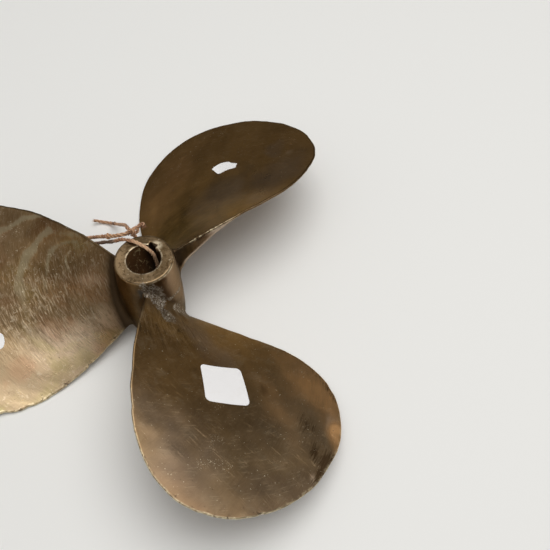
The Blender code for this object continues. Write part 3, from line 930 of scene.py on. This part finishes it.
# Outlines of the torn scraps, as radius and distance along in mm
UPPER_SCRAP = (
    (99.8, 6.9), (102.6, 7.4), (106.0, 6.4), (107.6, 3.2), (108.1, -0.4), (107.0, -3.6), (106.5, -8.3),
    (104.6, -8.9), (102.6, -9.8), (100.9, -6.2), (99.6, -3.8), (97.6, -1.8), (96.2, 0.6), (97.3, 3.0),
    (98.6, 5.0),
)
LEFT_SCRAP = (
    (89.9, 16.6), (90.1, 19.6), (91.7, 23.0), (94.6, 24.4), (97.6, 23.6), (100.9, 24.7), (102.8, 21.4),
    (102.2, 17.5), (99.6, 15.8), (96.4, 16.4), (93.4, 14.6), (91.0, 14.9),
)


def rounded_square(side, corner, degrees):
    """Points around a square with round corners, turned by an angle. They are complex
    numbers while they are made, so that a turn is a product."""
    arc = (side / 2 - corner) * (1 + 1j) + corner * np.exp(1j * np.linspace(0, math.pi / 2, 16))
    straight = arc[-1] + (1j * arc[0] - arc[-1]) * np.linspace(0, 1, 8)[1:-1]
    round_trip = np.concatenate([np.append(arc, straight) * 1j**k for k in range(4)])
    round_trip = round_trip * np.exp(-1j * math.radians(degrees))
    return np.stack([round_trip.real, round_trip.imag], axis=-1)


def torn(outline, seed):
    """A closed outline through given points, with small teeth as torn paper has."""
    closed = np.array([*outline, *outline[:3]]) / 1000
    line = smooth_route(np.column_stack([closed, np.zeros(len(closed))]), 0.0003)[:, :2]
    line = line[: 40 + int(np.argmin(size_of(line[40:] - line[0])))]  # once around
    outward = unit(line - line.mean(axis=0))
    return line + outward * np.random.default_rng(seed).normal(0, TEAR, len(line))[:, None]


def lifted_lip(centre, direction, start, tall):
    """Paper that curls up beyond a line: the lift grows as the square of the distance."""
    toward = unit(np.array(direction))
    return lambda flat: tall * (np.maximum((flat - centre) @ toward - start, 0) / 0.004) ** 2


def paper(name, number, outline, curl=lambda flat: 0):
    """A thin closed sheet on a blade's driving face. outline holds (radius, along), and
    curl gives an extra lift for each point."""
    middle = outline.mean(axis=0)
    share = np.array([1, 0.985, 0.9, 0.75, 0.55, 0.35, 0.15])[:, None, None]
    rings = middle + (outline - middle) * share
    flat = np.concatenate([rings.reshape(-1, 2), [middle]])
    rise = face_wave(np.column_stack([flat, np.full(len(flat), number)]), number) + PAPER_LIFT + curl(flat)
    sheets = [
        turned_by(blade_place(flat[:, 0], flat[:, 1], rise + up), BLADE_ANGLES[number])
        for up in (PAPER_THICK, 0)
    ]
    rows, around = rings.shape[:2]
    last = rows * around
    ring = np.arange(around)
    over = [between(rows, around, around=True), fan((ring + last - around)[::-1], last)]
    under = [block[:, ::-1] + last + 1 for block in over]
    turned = np.roll(ring, -1)
    wall = np.stack([ring + last + 1, turned + last + 1, turned, ring], axis=-1)
    made = add_piece(name, np.vstack(sheets), [*over, *under, wall])
    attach(made, "root")
    print(name, "has", len(made.data.polygons), "faces")
    return made


label = paper("label", 1, rounded_square(LABEL_SIDE, LABEL_CORNER, LABEL_TURN) + LABEL_PLACE)
upper_curl = lifted_lip((0.1015, 0.001), (-0.6, 0.8), 0.0010, 0.0012)
upper_scrap = paper("upper_scrap", 0, torn(UPPER_SCRAP, 3), upper_curl)
left_curl = lifted_lip((0.0965, 0.0200), (1.0, 0.2), 0.003, 0.0007)
left_scrap = paper("left_scrap", 2, torn(LEFT_SCRAP, 4), left_curl)

# %% [markdown]
# ## Formulas in a material
# Old bronze has many small causes for its look: polish, stains, scratches, pits. Each one
# is a number that changes over the surface, and together they are a formula. Node by node
# that would fill pages, so a small class stands for a socket. Arithmetic on it adds the
# Math nodes, and one method adds every other kind of node.

# %% Signals in a node tree
class Signal:
    """A socket of a node tree that can stand in a formula."""

    def __init__(self, tree, socket=None):
        self.tree = tree
        self.socket = socket

    def node(self, kind, settings=None, inputs=None, output=0):
        """Add a node: its settings first, then the values or links of its sockets."""
        made = self.tree.nodes.new(kind)
        for name, value in (settings or {}).items():
            if name == "stops":
                while len(made.color_ramp.elements) < len(value):
                    made.color_ramp.elements.new(1)
                for element, (place, grey) in zip(made.color_ramp.elements, value):
                    element.position = place
                    element.color = (grey, grey, grey, 1)
            else:
                setattr(made, name, value)
        for name, value in (inputs or {}).items():
            if isinstance(value, Signal):
                self.tree.links.new(value.socket, made.inputs[name])
            else:
                made.inputs[name].default_value = value
        return Signal(self.tree, made.outputs[output])

    def maths(self, operation, *others):
        return self.node("ShaderNodeMath", {"operation": operation}, dict(enumerate((self, *others))))

    def below(self, most):
        return self.maths("MINIMUM", most)

    def size(self):
        return self.maths("ABSOLUTE")

    def rise(self, low, high):
        """0 below low, 1 above high and smooth between. With low above high it falls."""
        sockets = {"Value": self, "From Min": low, "From Max": high}
        return self.node("ShaderNodeMapRange", {"interpolation_type": "SMOOTHSTEP"}, sockets)

    def tint(self, first, second, blend="MIX"):
        """The first colour where this signal is 0 and the second where it is 1."""
        first, second = ((*c, 1) if isinstance(c, tuple) else c for c in (first, second))
        settings = {"data_type": "RGBA", "blend_type": blend}
        return self.node("ShaderNodeMix", settings, {0: self, 6: first, 7: second}, output=2)

    def under(self, *layers):
        """This colour under layers of others. A layer is how much, which colour, and
        sometimes how they blend."""
        colour = self
        for amount, *layer in layers:
            colour = amount.tint(colour, *layer)
        return colour

    def parts(self):
        """The X, Y and Z of a vector signal."""
        made = self.node("ShaderNodeSeparateXYZ", inputs={"Vector": self})
        return [Signal(self.tree, socket) for socket in made.socket.node.outputs]

    def scaled(self, scale=(1, 1, 1), turn=(0, 0, 0), shift=(0, 0, 0)):
        """A vector signal turned by degrees and then stretched, for a pattern that runs
        in a direction."""
        turn = tuple(math.radians(angle) for angle in turn)
        turned = self.node("ShaderNodeMapping", inputs={"Vector": self, "Rotation": turn, "Location": shift})
        return self.node("ShaderNodeVectorMath", {"operation": "MULTIPLY"}, {0: turned, 1: scale})

    def compared(self, operation, other):
        """A number from two vectors, such as their distance."""
        return self.node("ShaderNodeVectorMath", {"operation": operation}, {0: self, 1: other}, "Value")

    def noise(self, scale, detail=3.0, rough=0.5, twist=0.0):
        """A cloud pattern read at this vector, about 0.5 on average."""
        sockets = {"Vector": self, "Scale": scale, "Detail": detail, "Roughness": rough, "Distortion": twist}
        return self.node("ShaderNodeTexNoise", {}, sockets, output="Fac")

    def relief(self, distance, strength):
        sockets = {"Height": self, "Distance": distance, "Strength": strength}
        return self.node("ShaderNodeBump", inputs=sockets, output="Normal")


def operator(operation, order):
    """A method that adds a Math node. The order is -1 in a reflected form, as in 1 - mask."""
    def method(self, other):
        return self.node("ShaderNodeMath", {"operation": operation}, dict(enumerate((self, other)[::order])))

    return method


for symbol, operation in (("add", "ADD"), ("sub", "SUBTRACT"), ("mul", "MULTIPLY"), ("pow", "POWER")):
    setattr(Signal, f"__{symbol}__", operator(operation, 1))
    setattr(Signal, f"__r{symbol}__", operator(operation, -1))


def new_material(name, *pieces):
    """A material on some pieces, the start of its formulas, and a function that feeds its
    shader."""
    made = bpy.data.materials.new(name)
    made.use_nodes = True
    shader = made.node_tree.nodes["Principled BSDF"]
    for piece in pieces:
        piece.data.materials.clear()
        piece.data.materials.append(made)

    def feed(**values):
        for title, value in values.items():
            socket = shader.inputs[title.replace("_", " ")]
            if isinstance(value, Signal):
                made.node_tree.links.new(value.socket, socket)
            else:
                socket.default_value = value
        print(name, "has", len(made.node_tree.nodes), "nodes")

    return Signal(made.node_tree), feed


print("ready for materials:", [m.name for m in bpy.data.materials])

# %% [markdown]
# ## Old bronze
# Bronze that has lain about is brown, not golden. Air and hands leave a thin dark film on
# it, thicker where nobody rubs it, and each scratch shows a bit of the brighter metal.
# Where the colour changes slowly the film is told by big soft noise. Painted textures
# would do as well, but noise has no seams and stays sharp at any distance.
# The colour is built up in layers, as a painter does it.

# %% Bronze: places and patterns
bronze, feed_bronze = new_material("old_bronze", casting)
place = bronze.node("ShaderNodeTexCoord", output="Object")
x, y, z = place.parts()
rim, number, _ = bronze.node("ShaderNodeUVMap", {"uv_map": "edge"}).parts()
flat = bronze.node("ShaderNodeUVMap", {"uv_map": "blade"})
along, radius, _ = flat.parts()
dark, pale, copper, coat_left, streaked_part, under_side, drops, gap_shadow_paint, greyed = (
    part
    for title in ("stains", "marks", "repairs")
    for part in bronze.node("ShaderNodeAttribute", {"attribute_name": title}, output="Vector").parts()
)


def only(value, wanted):
    """1 where a whole number has the wanted value, 0 elsewhere."""
    return (value - wanted).size().rise(0.6, 0.4)


on_hub = only(number, 3)
on_blade = radius.rise(0.018, 0.026) * (1 - on_hub)
upper_blade, lower_blade, left_blade = (only(number, k) * on_blade for k in range(3))
from_axis = (x * x + y * y) ** 0.5
from_top = HUB_TOP - z
end_face = from_axis.rise(0.0172, 0.0164) * from_top.rise(0.0012, 0.0004)
in_bore = from_axis.rise(0.0142, 0.0128) * from_top.rise(0.0001, 0.0010)
hub_wall = on_hub * from_axis.rise(0.0142, WALL_MIDDLE) * from_top.rise(0.0006, 0.0016)
low_side = along.rise(-0.004, 0.012)
high_side = along.rise(0.004, -0.012)

cloud = place.noise(20, 4.0, 0.55, 0.3)
patch = place.noise(75, 5.0, 0.62, 0.5)
mottle = place.noise(300, 5.0, 0.65)
speckle = place.noise(620, 4.0, 0.7)
haze = place.scaled(shift=(0.1, 0.3, 0.6)).noise(110, 5.0, 0.65, 0.3)
tone = place.scaled(shift=(0.7, 0.1, 0.3)).noise(34, 3.0, 0.5, 0.4)
rubbed = place.scaled(shift=(0.2, 0.4, 0.1)).noise(42, 3.0, 0.5, 0.4)
grain = place.scaled((1, 1, 0.3)).noise(260, 4.0, 0.6, 0.4)
wiped = flat.scaled((90, 420, 1), (0, 0, 34)).noise(1, 4.0, 0.65, 0.5)

# %% [markdown]
# ## The film's colour
# The film isn't one brown. Where it is dusty or rubbed it is paler, and where nobody
# touches it, darker. The base is a slow mix of two browns, and each further tone lies
# over it with its own mask. A painted image could hold the same tones, but masks are
# formulas that can be read and changed.

# %% Bronze: the film's colour
# Paler, dusty metal: the outer half of the lower blade and most of the left one
dusty = lower_blade * radius.rise(0.060, 0.125) * (0.35 + haze * 0.8)
dusty = dusty + left_blade * (0.20 + cloud.rise(0.35, 0.60) * 0.4)
dull_edge = lower_blade * along.rise(-0.015, -0.045) * radius.rise(0.095, 0.125)
hazy = haze.rise(0.50, 0.70) * on_blade * (0.32 - upper_blade * 0.24)
metal = cloud.rise(0.35, 0.68).tint((0.262, 0.146, 0.052), (0.305, 0.174, 0.064))
metal = metal.under(
    (patch.rise(0.50, 0.72) * 0.6, (0.195, 0.110, 0.042)),
    (mottle.rise(0.50, 0.72) * (0.30 - upper_blade * 0.15), (0.42, 0.28, 0.145)),
    (mottle.rise(0.46, 0.30) * 0.30, (0.14, 0.082, 0.036)),
    (dusty, (0.320, 0.225, 0.130)),
    (dull_edge * 0.35, (0.25, 0.185, 0.120)),
    # Painted reflection of the table: the left blade lighter towards its low side
    (left_blade * along.rise(-0.010, 0.055) * 0.9, (0.46, 0.345, 0.210)),
    (hazy, (0.40, 0.30, 0.18)),
    (lower_blade * 0.18, (0.060, 0.034, 0.014)),
    # The stains, painted shade and painted reflections that are listed above
    ((dark * (0.15 + patch * 0.70 + wiped * 0.90)).below(0.96), (0.044, 0.024, 0.008)),
    ((pale * (0.30 + mottle * 0.90 + wiped * 0.50)).below(0.96), (0.74, 0.55, 0.375)),
    ((copper * (0.30 + patch * 0.70 + wiped * 0.80)).below(0.96), (0.70, 0.38, 0.155)),
    (greyed * (0.30 + wiped * 0.40), (0.195, 0.148, 0.118)),
    # Soft hues that drift over the left blade, and a painted reflection of the pale table on faces that look
    # down, palest under the upper blade's root
    (left_blade * tone.rise(0.50, 0.62) * 0.9, (1.0, 0.89, 0.87), "MULTIPLY"),
    (left_blade * tone.rise(0.48, 0.36) * 0.9, (0.95, 1.0, 0.84), "MULTIPLY"),
    (under_side * (on_blade + upper_blade) * 0.45, (0.42, 0.32, 0.235)),
    (under_side * upper_blade * radius.rise(0.080, 0.045) * 0.6, (0.60, 0.51, 0.44)),
)

# The hub: a dark wall with a painted reflection of the table on its right, and an end face of grainy olive
# brown, painted lighter on its left and darker at its back
wall_colour = grain.rise(0.35, 0.65).tint((0.050, 0.026, 0.010), (0.140, 0.080, 0.036))
end_face_colour = (patch * 0.5 + speckle * 0.5).rise(0.38, 0.62).tint((0.120, 0.076, 0.036), (0.300, 0.212, 0.120))
end_face_colour = end_face_colour.under(
    # Painted light on the end face: lighter towards the left, darker towards the back
    (x.rise(-0.0070, -0.0150) * 0.80, (0.52, 0.355, 0.195)),
    (y.rise(0.0080, 0.0150) * 0.45, (0.090, 0.055, 0.024)),
    (speckle.rise(0.45, 0.36) * 0.7, (0.075, 0.045, 0.022)),
)
metal = metal.under(
    (hub_wall * (0.80 - x.rise(0.0090, 0.0145) * 0.45), wall_colour),
    # Painted reflection of the table on the wall's right side
    (hub_wall * (x - y * 0.3).rise(0.0120, 0.0170) * 0.40, (0.40, 0.30, 0.23)),
    (end_face * 0.92, end_face_colour),
)
print("film:", len(bronze.tree.nodes), "nodes")

# %% [markdown]
# ## Scratches
# A scratch is a thin straight line, and a whole field of them is noise stretched fifteen
# times in one direction and cut off near its peaks. It is read in the blade's own
# coordinates, because in space the lines would change their width as the blade twists.
# Slower noise lets each direction show only in places.

# %% Bronze: scratches
def scratched(length, width, degrees, bend=0.3, shift=(0, 0, 0)):
    """Noise drawn out along a direction on the blade: lines so long and wide, in metres."""
    drawn = flat.scaled((1 / length, 1 / width, 1), (0, 0, degrees), shift)
    return drawn.noise(1, 4.0, 0.62, bend)


rub_1 = scratched(0.010, 0.00065, -8)
rub_2 = scratched(0.011, 0.00070, 30)
rub_3 = scratched(0.012, 0.00080, -62, shift=(0.3, 0.1, 0))
lines = rub_1.rise(0.54, 0.68) * haze.rise(0.44, 0.58)
lines = lines + rub_2.rise(0.56, 0.70) * cloud.rise(0.58, 0.42)
lines = (lines + rub_3.rise(0.57, 0.72) * patch.rise(0.56, 0.44)) * on_blade
lines = (lines * (1 - upper_blade * radius.rise(0.125, 0.090) * 0.75)).below(1.0)

# The left blade was rubbed hard from its high edge to its low one
strokes = scratched(0.0060, 0.00090, 16, 0.7)
smears = scratched(0.0110, 0.00300, 24, 1.1, (0.2, 0.7, 0))
hard = left_blade * (1 - along.rise(0.016, 0.042) * 0.80) * (0.35 + along.rise(-0.036, -0.010) * 0.65)
bright_strokes = strokes.rise(0.52, 0.66) * hard * rubbed.rise(0.25, 0.50)
dark_strokes = strokes.rise(0.48, 0.34) * hard
dabs = place.noise(430, 4.0, 0.7, 0.6).rise(0.57, 0.66) * left_blade * rubbed.rise(0.38, 0.60)

# Streaks that ran down the lower blade's root from the brazing
flow = scratched(0.0130, 0.0024, 82, 1.6, (0.6, 0.3, 0))
flow_part = lower_blade * radius.rise(0.062, 0.034) * along.rise(0.022, 0.004)

# What is left of an old coat on the left blade's upper half, and torn streaks on the lower blade
coat_noise = (patch - 0.5) * 0.55 + (smears - 0.5) * 0.9 + (mottle - 0.5) * 0.3
old_coat = (coat_left + coat_noise).rise(0.30, 0.75) * coat_left.rise(0.02, 0.20) * along.rise(0.010, -0.026)
beside_coat = left_blade * coat_left.rise(0.45, 0.0) * along.rise(-0.008, -0.026)
torn_film = scratched(0.0075, 0.0012, 27, 1.2, (0.4, 0.2, 0))
torn_part = streaked_part + (torn_film - 0.5) * 3.0 + (patch - 0.5) * 0.8 + (mottle - 0.5) * 0.8
torn_part = torn_part.rise(0.15, 0.90) * streaked_part.rise(0.02, 0.30)
metal = metal.under(
    (lines * 0.20, (0.56, 0.42, 0.26)),
    (rub_2.rise(0.46, 0.32) * on_blade * 0.16, (0.08, 0.046, 0.020)),
    (smears.rise(0.52, 0.66) * hard * 0.40, (0.46, 0.36, 0.24)),
    (smears.rise(0.48, 0.34) * hard * 0.45, (0.11, 0.066, 0.032)),
    (bright_strokes * 0.55, (0.72, 0.57, 0.39)),
    (dark_strokes * 0.46, (0.10, 0.060, 0.030)),
    (dabs * 0.55, (0.70, 0.57, 0.40)),
    (flow.rise(0.48, 0.34) * flow_part * 0.75, (0.050, 0.029, 0.013)),
    (flow.rise(0.52, 0.66) * flow_part * 0.45, (0.37, 0.25, 0.135)),
    (beside_coat * 0.30, (0.12, 0.070, 0.030)),
    (old_coat * (0.30 + coat_left * 0.35), (0.37, 0.315, 0.200)),
    (torn_part * 0.80, (0.060, 0.031, 0.012)),
)
print("with scratches:", len(bronze.tree.nodes), "nodes")

# %% [markdown]
# ## Wear, chips and a painted reflection
# Where a rim has struck the ground the film is gone and the metal is bright and notched.
# That reads the distance from the rim, which was stored with the mesh. Elsewhere the rims
# of the upper and left blades are darker. Chips and pits are the peaks of very fine noise.

# %% Bronze: wear and chips
broken = place.noise(420, 3.0, 0.6).rise(0.42, 0.56)
knocked = upper_blade * high_side * broken * (0.08 + radius.rise(0.066, 0.044) * 0.62)
knocked = knocked + upper_blade * low_side * 0.12 + left_blade * low_side * 0.85
lower_rim = along.rise(0.03, -0.015) * radius.rise(0.045, 0.135) * (0.35 + broken * 0.65) * 0.85
knocked = knocked + lower_blade * (0.10 + lower_rim)
worn = (rim - lower_blade * 0.0003 + mottle * 0.0014 - patch * 0.0006).rise(0.0009, 0.0001) * knocked
unworn = rim.rise(0.0014, 0.0004) * on_blade * (1 - knocked.below(1.0))
# Painted reflection of the table: a golden band along the low rims of the left blade and the lower blade's
# outer part
low_rim_reflection = (rim + mottle * 0.0040 - patch * 0.0010).rise(0.0036, 0.0014) * broken
low_rim_reflection = low_rim_reflection * low_side * (left_blade + lower_blade * radius.rise(0.10, 0.13) * 0.5)
notch = place.noise(330, 3.0, 0.6).rise(0.56, 0.63) * rim.rise(0.0026, 0.0008) * knocked

# The arrises of the hub's end are polished by handling, and a painted highlight makes the outer one brighter
# towards the front right
outer_arris = from_axis.rise(0.0156, 0.0166) * from_top.rise(0.0018, 0.0009) * (1 - end_face * 0.7)
inner_arris = from_axis.rise(0.0110, 0.0104) * from_axis.rise(0.0095, 0.0098) * from_top.rise(0.0008, 0.0002)
polish_and_highlight = outer_arris * mottle.rise(0.40, 0.58) * (0.25 + (x - y).rise(0.004, 0.018) * 0.55)
polish_and_highlight = polish_and_highlight + inner_arris * (1 - in_bore) * speckle.rise(0.36, 0.54) * 0.75

# Flecks: single chips and pits, and a few clusters of small chips
fewer = 1 - upper_blade * radius.rise(0.130, 0.095) * 0.6
chips = place.noise(800, 2.0, 0.5).rise(0.70, 0.75) * patch.rise(0.40, 0.52) * fewer
clusters = place.noise(48, 2.0, 0.5).rise(0.63, 0.70)
chips = (chips + place.noise(1300, 3.0, 0.6).rise(0.58, 0.64) * clusters * fewer * 0.7).below(1.0)
pits = place.scaled(shift=(0.5, 0.2, 0.1)).noise(540, 2.0, 0.5).rise(0.71, 0.76)
metal = metal.under(
    (unworn * (upper_blade * (1 - under_side) + left_blade) * 0.75, (0.055, 0.034, 0.016)),
    (worn * 0.9, (0.88, 0.77, 0.52)),
    (low_rim_reflection * 0.80, (1.0, 0.84, 0.54)),
    (notch * 0.85, (0.10, 0.062, 0.038)),
    (polish_and_highlight, (0.74, 0.62, 0.43)),
    (chips * 0.80, (0.80, 0.69, 0.49)),
    (pits * 0.6, (0.09, 0.055, 0.035)),
)
print("with wear:", len(bronze.tree.nodes), "nodes")

# %% [markdown]
# ## Painted shade, grime and brazing
# Painted shade, with some grime in it, darkens the corners around the roots, and the bore
# is painted darker on one side. The brazing is silvery and crystalline: a net of thin
# veins where crystals meet, on metal that was brushed with wire and burnt dark.

# %% Bronze: painted shade, grime and brazing
# Painted shade, with some grime, in the corners at the blades' roots, deepest at the left blade
crease_shade = radius.rise(0.0282, 0.0196) * (0.50 + only(number, 2) * 0.47 + only(number, 0) * 0.2)
root_shade_and_grime = (radius.rise(0.036, 0.0195) * 0.35 * (0.5 + patch) + crease_shade) * (1 - drops * 0.7)
root_shade_and_grime = (root_shade_and_grime * (1 - only(number, 0) * under_side * 0.9)).below(0.96)
trails = place.scaled((1, 1, 0.40)).noise(460, 4.0, 0.6, 1.2).rise(0.58, 0.64)
# Painted shade in the bore: near black on its right side, brown with bright flecks on its left
bore_colour_and_shade = x.rise(-0.0050, 0.0020).tint((0.330, 0.165, 0.066), (0.055, 0.030, 0.016))
bore_colour_and_shade = bore_colour_and_shade.under((trails * 0.9 * x.rise(0.0040, -0.0030), (1.0, 0.82, 0.46)))
KEY_MOUTH = tuple(turned_by(np.array([0.0112, -0.0022, 0.0612]), BLADE_ANGLES[0]))
key_corner = place.compared("DISTANCE", KEY_MOUTH).rise(0.0042, 0.0016) * mottle.rise(0.44, 0.56)

brushed = place.scaled((1, 0.4, 0.25), (0, 35, 0), (0.4, 0.1, 0)).noise(520, 5.0, 0.72, 0.2)
brazed = (drops + (brushed - 0.5) * 1.5 + (mottle - 0.5) * 0.6).rise(0.22, 0.60) * drops.rise(0.02, 0.25)
crystals = place.noise(1100, 3.0, 0.7)
veins = (place.noise(430, 2.0, 0.5, 1.5) - 0.5).size().rise(0.035, 0.006)
silver = crystals.rise(0.60, 0.70) * 0.60 + veins * crystals.rise(0.40, 0.56) * 0.85
metal = metal.under(
    (root_shade_and_grime, (0.038, 0.022, 0.010)),
    (in_bore, bore_colour_and_shade),
    (key_corner * 0.9, (0.86, 0.72, 0.50)),
    (brazed * 0.85, (0.130, 0.098, 0.068)),
    (brazed * brushed.rise(0.48, 0.66) * 0.60, (0.46, 0.41, 0.34)),
    (brazed * brushed.rise(0.46, 0.34) * 0.75, (0.075, 0.052, 0.033)),
    (brazed * silver, (0.92, 0.88, 0.79)),
    # Painted shadow of the gap beside the brazing
    (gap_shadow_paint * 0.95, (0.016, 0.009, 0.005)),
)
print("with brazing:", len(bronze.tree.nodes), "nodes")

# %% [markdown]
# ## Shine
# The film also decides how sharp the metal mirrors the room. Rubbed metal is smoother
# than stained metal, and the bump gives the scratches and pits an edge that catches
# light. Under the roots' painted shade and grime, and in the bore, the metallic value falls.

# %% Bronze: shine and relief
film = in_bore * 0.6 + root_shade_and_grime * 0.35 + copper.rise(0.78, 0.98) * 0.55 + gap_shadow_paint
film = (film + worn * 0.7 + patch.rise(0.58, 0.75) * 0.20 + pits * 0.5).below(1.0)
shine = 0.33 + (cloud - 0.5) * 0.25 + (patch - 0.5) * 0.20 + brazed * 0.05 + in_bore * 0.10 + root_shade_and_grime * 0.1
shine = shine - worn * 0.08 + dark_strokes * 0.10 - bright_strokes * 0.06 + lines * 0.05
height = (mottle - 0.5) * 0.20 + (place.noise(1500, 3.0, 0.6) - 0.5) * 0.08 - pits * 0.4 + chips * 0.15
height = height + lines * 0.15 + (strokes - 0.5) * hard * 0.45 + (smears - 0.5) * hard * 0.35 - notch * 0.6
height = height + brazed * ((crystals - 0.5) * 2.0 + (brushed - 0.5) * 3.5)
height = height + (speckle - 0.5) * (end_face + hub_wall) * 0.6
FILM_BROWN = (0.72, 0.63, 0.50, 1)  # the film's own hue, also at grazing angles
feed_bronze(Base_Color=metal, Metallic=0.97 - film * 0.6, Roughness=shine, Normal=height.relief(0.0003, 0.6))
feed_bronze(Specular_Tint=FILM_BROWN)

# %% [markdown]
# ## Twine and paper
# The twine's colour runs along its yarns, so its pattern reads the map that was made with
# the strand: the length along it and the turn around it. The turn jumps from 1 back to 0,
# and to hide that the pattern reads its sine and cosine instead. Where the loop lies over
# the bore it is painted paler as if lit, and beside the hub it is darker and greyer.

# %% Twine
twine, feed_twine = new_material("old_twine", *(piece for piece, _ in TWINE_PIECES))
run, turn, _ = twine.node("ShaderNodeUVMap", {"uv_map": "strand"}).parts()
turn = turn * math.tau


def part_of_loop(first, last, before, after):
    """1 between two places of the loop. It starts to rise a distance before the first
    one and is full at a distance after it."""
    start, end = (length_at(loop_line, point) for point in metres(first, last))
    print("part of the loop in mm:", round(start * 1000), "to", round(end * 1000))
    return run.rise(start - before, start + after) * run.rise(end + 0.003, end - 0.003)


wrapped = {"X": turn.maths("COSINE"), "Y": turn.maths("SINE"), "Z": run * 120}
fine = twine.node("ShaderNodeCombineXYZ", inputs=wrapped).scaled((5.0, 5.0, 1.2)).noise(1.6, 4.0, 0.65)
broad = twine.node("ShaderNodeTexCoord", output="Object").noise(110, 3.0, 0.5)
valley = (turn * YARNS).maths("COSINE")
# Painted light: the stretch over the bore is painted paler, as if lit
lit = part_of_loop((5.6, 6.4, 45.0), (-6.1, 11.6, 63.9), 0.004, 0.002)
grey_stretch = part_of_loop((-16.5, 18.4, 56.4), (-45.3, 48.0, 14.0), 0.002, 0.006)
lump = (run - (length_at(long_end_line, TAIL_LUMP) + 1)).size().rise(0.0024, 0.00096)
tied_colour = broad.rise(0.38, 0.60).tint((0.26, 0.110, 0.052), (0.56, 0.290, 0.155))
hue = broad.rise(0.40, 0.58).tint((0.38, 0.150, 0.064), (0.68, 0.375, 0.190))
hue = hue.under(
    (run.rise(0.90, 0.95), tied_colour),  # the long end and the knot
    (fine.rise(0.48, 0.66) * 0.75, (0.88, 0.63, 0.40)),
    (fine.rise(0.48, 0.32) * 0.75, (0.12, 0.050, 0.028)),
    (lit * 0.80, fine.rise(0.38, 0.60).tint((0.50, 0.25, 0.13), (0.84, 0.60, 0.38))),
    (grey_stretch * 0.85, fine.rise(0.4, 0.6).tint((0.09, 0.058, 0.042), (0.22, 0.145, 0.100))),
    (lump * 0.8, (0.11, 0.060, 0.045)),
    # Painted shade in the valleys between the yarns, weaker on the stretch painted lit
    (valley.rise(-0.2, -1.0) * (0.75 - lit * 0.55), (0.12, 0.05, 0.03)),
)
feed_twine(Base_Color=hue, Roughness=0.8, Normal=fine.relief(0.0002, 0.8))
feed_twine(Sheen_Weight=0.3, Sheen_Roughness=0.4, Sheen_Tint=(1.0, 0.80, 0.62, 1))

# %% [markdown]
# ## Paper
# The sticker and the scraps are thin paper: nearly white, yellowed in clouds, with a
# fine grain of fibres. One material serves all three. It reads object coordinates,
# since an even pattern needs no map.

# %% Paper
label_paper, feed_paper = new_material("label_paper", label, upper_scrap, left_scrap)
spot = label_paper.node("ShaderNodeTexCoord", output="Object")
age = spot.noise(140, 4.0, 0.6)
fibres = spot.noise(2600, 2.0, 0.5)
white = (age.rise(0.52, 0.75) * 0.3).tint((0.96, 0.95, 0.95), (0.86, 0.83, 0.78))
white = white.under((fibres.rise(0.60, 0.75) * 0.3, (0.84, 0.82, 0.80)))
feed_paper(Base_Color=white, Roughness=0.5 + (age - 0.5) * 0.2, Normal=(fibres + age).relief(0.0001, 0.4))

# %% [markdown]
# ## Floor
# The part lies on a pale, dull table top. Here that is one large flat face just below
# it, which is enough to catch the shadows and to throw even light back at the metal.

# %% Floor
FLOOR_COLOUR = (0.90, 0.90, 0.88, 1)
FLOOR_HALF = 12
FLOOR_HEIGHT = -0.0003
floor_corners = [(-1, -1), (1, -1), (1, 1), (-1, 1)]
floor_points = [(a * FLOOR_HALF, b * FLOOR_HALF, FLOOR_HEIGHT) for a, b in floor_corners]
floor = add_piece("floor", floor_points, [np.array([[0, 1, 2, 3]])])
_, feed_floor = new_material("pale_floor", floor)
feed_floor(Base_Color=FLOOR_COLOUR, Roughness=0.6)

# %% [markdown]
# ## Light
# Polished metal shows the room more than itself. A single lamp would leave it black with
# one glint, so the light here is a bright ceiling that fades towards dim walls. That is a
# world whose brightness depends on the direction's height. One wide lamp beside the top
# gives the shadows a direction.

# %% Light
CEILING = (0.12, -0.07, 0.99)  # the direction of the brightest part
FRONT_LEFT = (-0.74, -0.60, 0.30)  # a paler wall
# Brightness of the world, by how far a direction turns towards CEILING
STOPS = (
    (0.0, 0.11), (0.34, 0.13), (0.57, 0.17), (0.71, 0.26),
    (0.80, 0.45), (0.87, 0.85), (0.92, 1.25), (1.0, 1.6),
)

world = bpy.data.worlds.new("studio")
bpy.context.scene.world = world
world.use_nodes = True
sky = Signal(world.node_tree)
direction = sky.node("ShaderNodeTexCoord", output="Generated")
toward_ceiling = direction.compared("DOT_PRODUCT", CEILING)
glow = sky.node("ShaderNodeValToRGB", {"stops": STOPS}, {"Fac": toward_ceiling})
wall = direction.compared("DOT_PRODUCT", FRONT_LEFT).rise(0.2, 1.0)
glow = wall.tint(glow, (0.20, 0.19, 0.17), "ADD")
seen = sky.node("ShaderNodeLightPath", output="Is Camera Ray").tint(glow, (0.80, 0.80, 0.79))
world.node_tree.links.new(seen.socket, world.node_tree.nodes["Background"].inputs["Color"])

lamp_data = bpy.data.lights.new("ceiling_lamp", "AREA")
lamp_data.shape = "DISK"
lamp_data.size = 1.2
lamp_data.energy = 6.3
lamp_data.color = (1.0, 0.98, 0.95)
lamp = bpy.data.objects.new("ceiling_lamp", lamp_data)
lamp.location = (0.33, 0.10, 1.26)
lamp.rotation_mode = "QUATERNION"
lamp.rotation_quaternion = (Vector((0.03, 0, 0)) - lamp.location).to_track_quat("-Z", "Y")
bpy.context.scene.collection.objects.link(lamp)
bpy.context.scene.view_settings.view_transform = "Standard"
